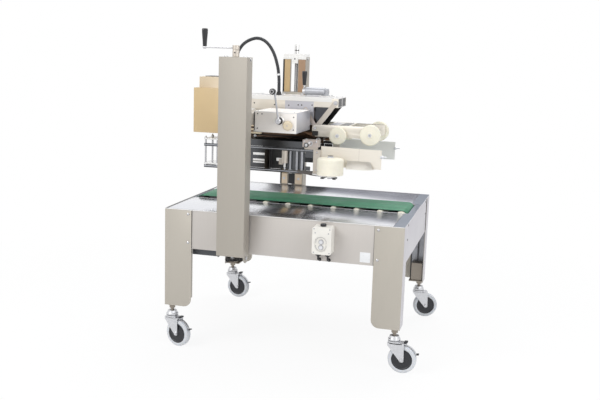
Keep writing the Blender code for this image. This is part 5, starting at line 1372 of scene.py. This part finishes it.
# ------------------------------------------------------------------ side guides
def side_guide(name, side):
    """Rails, sliders, outfeed rods, guide plate and roller bracket of one guide."""
    y = 0.2
    made = Piece("side_guide_%s_finish" % name)

    def bar(x_low, x_high, y_low, y_high, z_low, z_high, finish, bevel=0.0008):
        made.block(finish, (x_low, y_low * side, z_low), (x_high, y_high * side, z_high), bevel)

    def upright_rod(x, along, z_low, z_high, radius, finish, sides=20):
        made.turned(finish, rod(radius, z_low, z_high), (x, along * side, 0), Z_AXIS, sides)

    for z_low, z_high in ((0.913, 0.926), (0.812, 0.826)):
        bar(-0.455, 0.078, y - 0.006, y + 0.006, z_low, z_high, "rail")
        bar(-0.454, 0.078, y + 0.0055, y + 0.0064, z_low + 0.0055, z_high - 0.0045, "galvanised", 0.0003)
    bar(0.077, 0.112, y - 0.01, y + 0.01, 0.81, 0.927, "post", 0.0012)
    for x_low, x_high, inner, outer, z_low, z_high, finish, bevel in (
            (-0.29, 0.026, -0.012, -0.009, 0.9262, 0.957, "rail", 0.0008),
            (-0.29, 0.034, -0.011, -0.009, 0.8262, 0.9128, "rail", 0.0008),
            (-0.215, -0.15, -0.0085, -0.002, 0.885, 0.896, "edge", 0.002),
            (-0.215, -0.15, -0.0085, -0.002, 0.848, 0.867, "edge", 0.002),
            (-0.215, -0.14, -0.002, 0.001, 0.856, 0.859, "mirror_dark", 0.0008),
            (0.035, 0.06, -0.011, -0.009, 0.8262, 0.845, "rail", 0.0008),
            (0.035, 0.076, -0.011, -0.009, 0.886, 0.9128, "rail", 0.0008)):
        bar(x_low, x_high, y + inner, y + outer, z_low, z_high, finish, bevel)
    skirt = [(-0.02, 0.8256), (0.079, 0.8256), (0.118, 0.821), (0.118, 0.804), (0.07, 0.807), (0.02, 0.815)]
    made.slab("mirror_dark", skirt, "Y", (y + 0.0066) * side, (y + 0.009) * side, 0.0005)
    for x_low, x_high, half, finish in ((-0.156, -0.131, 0.005, "mirror_dark"),
                                        (-0.036, -0.028, 0.005, "galvanised"),
                                        (-0.006, 0.004, 0.005, "galvanised"),
                                        (0.018, 0.028, 0.004, "galvanised")):
        bar(x_low, x_high, y - half, y + half, 0.825, 0.914, finish)
    bar(-0.098, -0.07, y - 0.001, y + 0.006, 0.864, 0.878, "edge")
    bar(-0.086, -0.068, y - 0.007, y + 0.007, 0.848, 0.874, "post")
    for shaft_x in SHAFT_XS:
        bar(shaft_x - 0.037, shaft_x + 0.037, y - 0.024, y + 0.024, 0.938, 0.971, "slider", 0.0025)
        bar(shaft_x - 0.03, shaft_x + 0.03, y - 0.0055, y + 0.0055, 0.925, 0.939, "post")
        for way in (1, -1):
            made.turned("zinc", rounded(hoop(0.0075, 0.0115, 0.024, 0.0265), 0.0006, 2),
                        (shaft_x, y * side, SHAFT_Z), Y_AXIS * way, 28)
    for z_low, z_high in ((0.828, 0.834), (0.944, 0.95)):
        bar(-0.455, -0.385, y - 0.098, y + 0.006, z_low, z_high, "bright")
    for rod_x in (-0.449, -0.391):
        for inset in (0.0, 0.09):
            upright_rod(rod_x, y - inset, 0.82, 0.956, 0.0045, "chrome")
            for start, way in ((0.95, 1), (0.828, -1)):
                tip = ((0, 0), (0.0075, 0), (0.0075, 0.0042), (0.004, 0.0066), (0.0018, 0.0125), (0, 0.0125))
                made.turned("zinc", tip, (rod_x, (y - inset) * side, start), Z_AXIS * way, 6)
    upright_rod(-0.059, y, 0.82, 0.92, 0.0045, "zinc")
    small = rounded(rod(0.015, 0.856, 0.914), 0.0015, 4)
    made.turned("post", small, (-0.059, y * side, 0), Z_AXIS, 40)
    made.turned("bright", rod(0.007, 0.838, 0.856), (-0.059, y * side, 0), Z_AXIS, 24)
    near = "guide" if side < 0 else "far_guide"
    plate = [(0.111, 0.853), (0.39, 0.853), (0.39, 0.94), (0.111, 0.944)]
    made.slab(near, plate, "Y", (y - 0.0015) * side, (y + 0.0015) * side, 0.0005)
    joint = [(0.2865, 0.8532), (0.288, 0.8532), (0.288, 0.9415), (0.2865, 0.9415)]
    made.slab("post", joint, "Y", (y + 0.0012) * side, (y + 0.0018) * side, 0.0001)
    ski = [(0.24, y - 0.001), (0.24, y + 0.058), *arc((0.29, y - 0.001), 0.072, 60, 8, 8), (0.361, y - 0.001)]
    made.slab("pale", [(a, b * side) for a, b in ski], "Z", 0.853, 0.8546, 0.0004)
    flare = bmesh.new()
    face_y = y + 0.0016
    upper = [flare.verts.new((x, face_y * side, 0.885)) for x in (0.236, 0.262, 0.288, 0.314, 0.34)]
    lower = [flare.verts.new((x, (face_y + out) * side, 0.8548)) for x, out in
             ((0.24, 0.056), (0.262, 0.059), (0.296, 0.056), (0.33, 0.042), (0.356, 0.015))]
    for index in range(4):
        flare.faces.new((upper[index], upper[index + 1], lower[index + 1], lower[index]))
    flare.faces.new((upper[0], lower[0], flare.verts.new((0.24, face_y * side, 0.8548))))
    bmesh.ops.solidify(flare, geom=flare.faces, thickness=0.001)
    bmesh.ops.recalc_face_normals(flare, faces=flare.faces)
    made.add("pale", flare)
    px, py = 0.172, 0.27
    heel = [(0.08, y - 0.006), (0.08, y + 0.03), (px - 0.03, py + 0.016)]
    heel += arc((px, py), 0.026, 140, -40, 10) + [(0.142, y - 0.006)]
    made.slab("bright", [(a, b * side) for a, b in heel], "Z", 0.815, 0.821, 0.0008)
    upright_rod(px, py, 0.81, 0.906, 0.008, "zinc", 28)
    for place in (px - 0.036, px + 0.018):
        bar(place, place + 0.014, py - 0.012, py + 0.03, 0.8085, 0.8152, "dark")
    for start, way in ((0.9036, 1), (0.8155, -1)):
        made.turned("zinc", rounded(rod(0.016, 0, 0.0014), 0.0003, 2), (px, py * side, start), Z_AXIS * way,
                    32)
        made.turned("chrome", capped(0.0128, 0.0012, 0.0062, 0.0112, 0.0078), (px, py * side, start),
                    Z_AXIS * way, 6)
    made.turned("dark", rounded(((0, 0.9108), (0.0125, 0.9108), (0.0118, 0.9118), (0, 0.9118)), 0.0004, 2),
                (px, py * side, 0), Z_AXIS, 24)
    nose = rounded(((0, 0.384), (0.007, 0.384), (0.007, 0.394), (0.0045, 0.4), (0.0018, 0.414), (0, 0.414)),
                   0.0008, 2)
    made.turned("zinc", nose, (0, y * side, 0.91), X_AXIS, 24)
    made.done("side_guide_" + name, ["side_guide_" + name])
    places = [((0.0945, (y + 0.01) * side, 0.915), (0, side, 0)),
              ((0.0945, (y + 0.01) * side, 0.833), (0, side, 0))]
    for shaft_x in SHAFT_XS:
        places += [((shaft_x + a, y * side, 0.971), (0, 0, 1)) for a in (-0.024, 0.024)]
        places += [((shaft_x + a, (y + 0.024) * side, 0.963), (0, side, 0)) for a in (-0.028, 0.028)]
    screws("side_guide_%s_bolts" % name, places, "side_guide_" + name, 0.0048, 0.0036)
    drum = Piece("compression_roller_%s_finish" % name)
    shape = rounded(((0.009, 0.8262), (0.06, 0.8262), (0.06, 0.842), (0.059, 0.8427), (0.059, 0.8437),
                     (0.06, 0.8444), (0.06, 0.893), (0.056, 0.8985), (0.05, 0.9), (0.02, 0.903),
                     (0.009, 0.903)), 0.0012, 3)
    drum.turned("roller_cream", shape, (px, py * side, 0), Z_AXIS, 72)
    drum.done("compression_roller_" + name, ["compression_roller_" + name])


# ------------------------------------------------------------------ room, light and camera
def seen_mix(tree, output, plain, seen, fade=None):
    """Shows one shader to the camera, mirrors and glass, and another to everything else."""
    path = wired(tree, "ShaderNodeLightPath").outputs
    share = path["Is Camera Ray"]
    for label in ("Is Glossy Ray", "Is Transmission Ray"):
        share = wired(tree, "ShaderNodeMath", {0: share, 1: path[label]}, operation="MAXIMUM").outputs[0]
    if fade:
        share = wired(tree, "ShaderNodeMath", {0: share, 1: fade}, operation="MULTIPLY").outputs[0]
    mix = wired(tree, "ShaderNodeMixShader", {0: share, 1: plain.outputs[0], 2: seen.outputs[0]})
    tree.links.new(mix.outputs[0], tree.nodes[output].inputs["Surface"])


def staged_quad(name, coat, corners, colour, roughness):
    """A flat sheet that is part of the stage, in a plain colour."""
    material = bpy.data.materials.new(coat)
    material.use_nodes = True
    shader = material.node_tree.nodes["Principled BSDF"]
    shader.inputs["Base Color"].default_value = (*colour, 1.0)
    shader.inputs["Roughness"].default_value = roughness
    mesh = bpy.data.meshes.new(name)
    mesh.from_pydata(corners, [], [(0, 1, 2, 3)])
    mesh.materials.append(material)
    made = linked(name, mesh)
    return made, material.node_tree, shader


def room():
    world = bpy.data.worlds.new("studio")
    bpy.context.scene.world = world
    world.use_nodes = True
    tree = world.node_tree
    plain = tree.nodes["Background"]
    plain.inputs["Color"].default_value = (0.95, 0.97, 1.0, 1.0)
    plain.inputs["Strength"].default_value = 0.54
    white = wired(tree, "ShaderNodeBackground", {"Color": (1.0, 1.0, 1.0, 1.0), "Strength": 1.0})
    seen_mix(tree, "World Output", plain, white)

    # The floor glows white to the camera, a little less near the machine, where its shadow lies.
    reach = 30
    corners = [(-reach, -reach, 0), (reach, -reach, 0), (reach, reach, 0), (-reach, reach, 0)]
    _, tree, shader = staged_quad("floor", "floor_white", corners, (0.95, 0.95, 0.95), 0.9)
    place = wired(tree, "ShaderNodeTexCoord").outputs["Object"]
    away = wired(tree, "ShaderNodeVectorMath", {0: place}, operation="LENGTH").outputs["Value"]
    fade = wired(tree, "ShaderNodeMapRange", {"Value": away, "From Min": 0.9, "From Max": 2.6,
                                              "To Min": 0.9, "To Max": 1.0})
    glow = wired(tree, "ShaderNodeEmission", {"Strength": 1.0})
    seen_mix(tree, "Material Output", shader, glow, fade.outputs["Result"])

    # Only glossy rays see the cards: the polished plates mirror a darker room in them.
    for name, left, right, top, shade in (("black_card", -1.3, -0.7, 2.1, 0.02),
                                          ("grey_card", -0.7, 0.4, 1.24, 0.26)):
        corners = [(left, 3.2, 0.3), (right, 3.2, 0.3), (right, 3.2, top), (left, 3.2, top)]
        card, _, _ = staged_quad(name, name, corners, (shade, shade, shade * 1.15), 1.0)
        card.visible_camera = card.visible_diffuse = card.visible_shadow = card.visible_transmission = False


def lamp(name, place, size, watts, colour=(1.0, 1.0, 1.0)):
    """A soft square lamp that points at the machine's middle."""
    data = bpy.data.lights.new(name, "AREA")
    data.shape = "SQUARE"
    data.size = size
    data.energy = watts
    data.color = colour
    made = linked(name, data)
    made.location = place
    made.rotation_euler = (Vector((0, 0, 0.75)) - Vector(place)).to_track_quat("-Z", "Y").to_euler()


def lights():
    lamp("key_lamp", (-2.6, -3.6, 3.4), 2.4, 110.0)
    lamp("fill_lamp", (3.4, -2.2, 2.4), 2.6, 52.0, (0.97, 0.98, 1.0))
    lamp("top_lamp", (0.3, 1.6, 3.8), 2.6, 60.0)
    bpy.context.scene.view_settings.view_transform = "Standard"


def camera():
    data = bpy.data.cameras.new("camera")
    data.sensor_width = 36.0
    data.lens = 50.98
    made = linked("camera", data)
    turn, tilt, lean = math.radians(14.7), math.radians(10.06), math.radians(1.8)
    ahead = Vector((-math.sin(turn) * math.cos(tilt), math.cos(turn) * math.cos(tilt), -math.sin(tilt)))
    right = Vector((math.cos(turn), math.sin(turn), 0))
    above = right.cross(ahead)
    leaned_right = right * math.cos(lean) + above * math.sin(lean)
    leaned_up = above * math.cos(lean) - right * math.sin(lean)
    basis = Matrix((leaned_right, leaned_up, -ahead)).transposed().to_4x4()
    made.matrix_world = Matrix.Translation((0.9621, -3.947, 1.375)) @ basis
    bpy.context.scene.camera = made


def main():
    camera()
    room()
    lights()
    frame_sheets()
    for corner in CORNERS:
        caster(corner)
    for build in (conveyor, belt_motor, lifting_chain, columns, lifting_screws, switch_box, lift_and_beam,
                  housing, clamp_lever, control_box, cable_hose, adjuster, taping_unit, press_unit):
        build()
    side_guide("near", -1)
    side_guide("far", 1)


main()
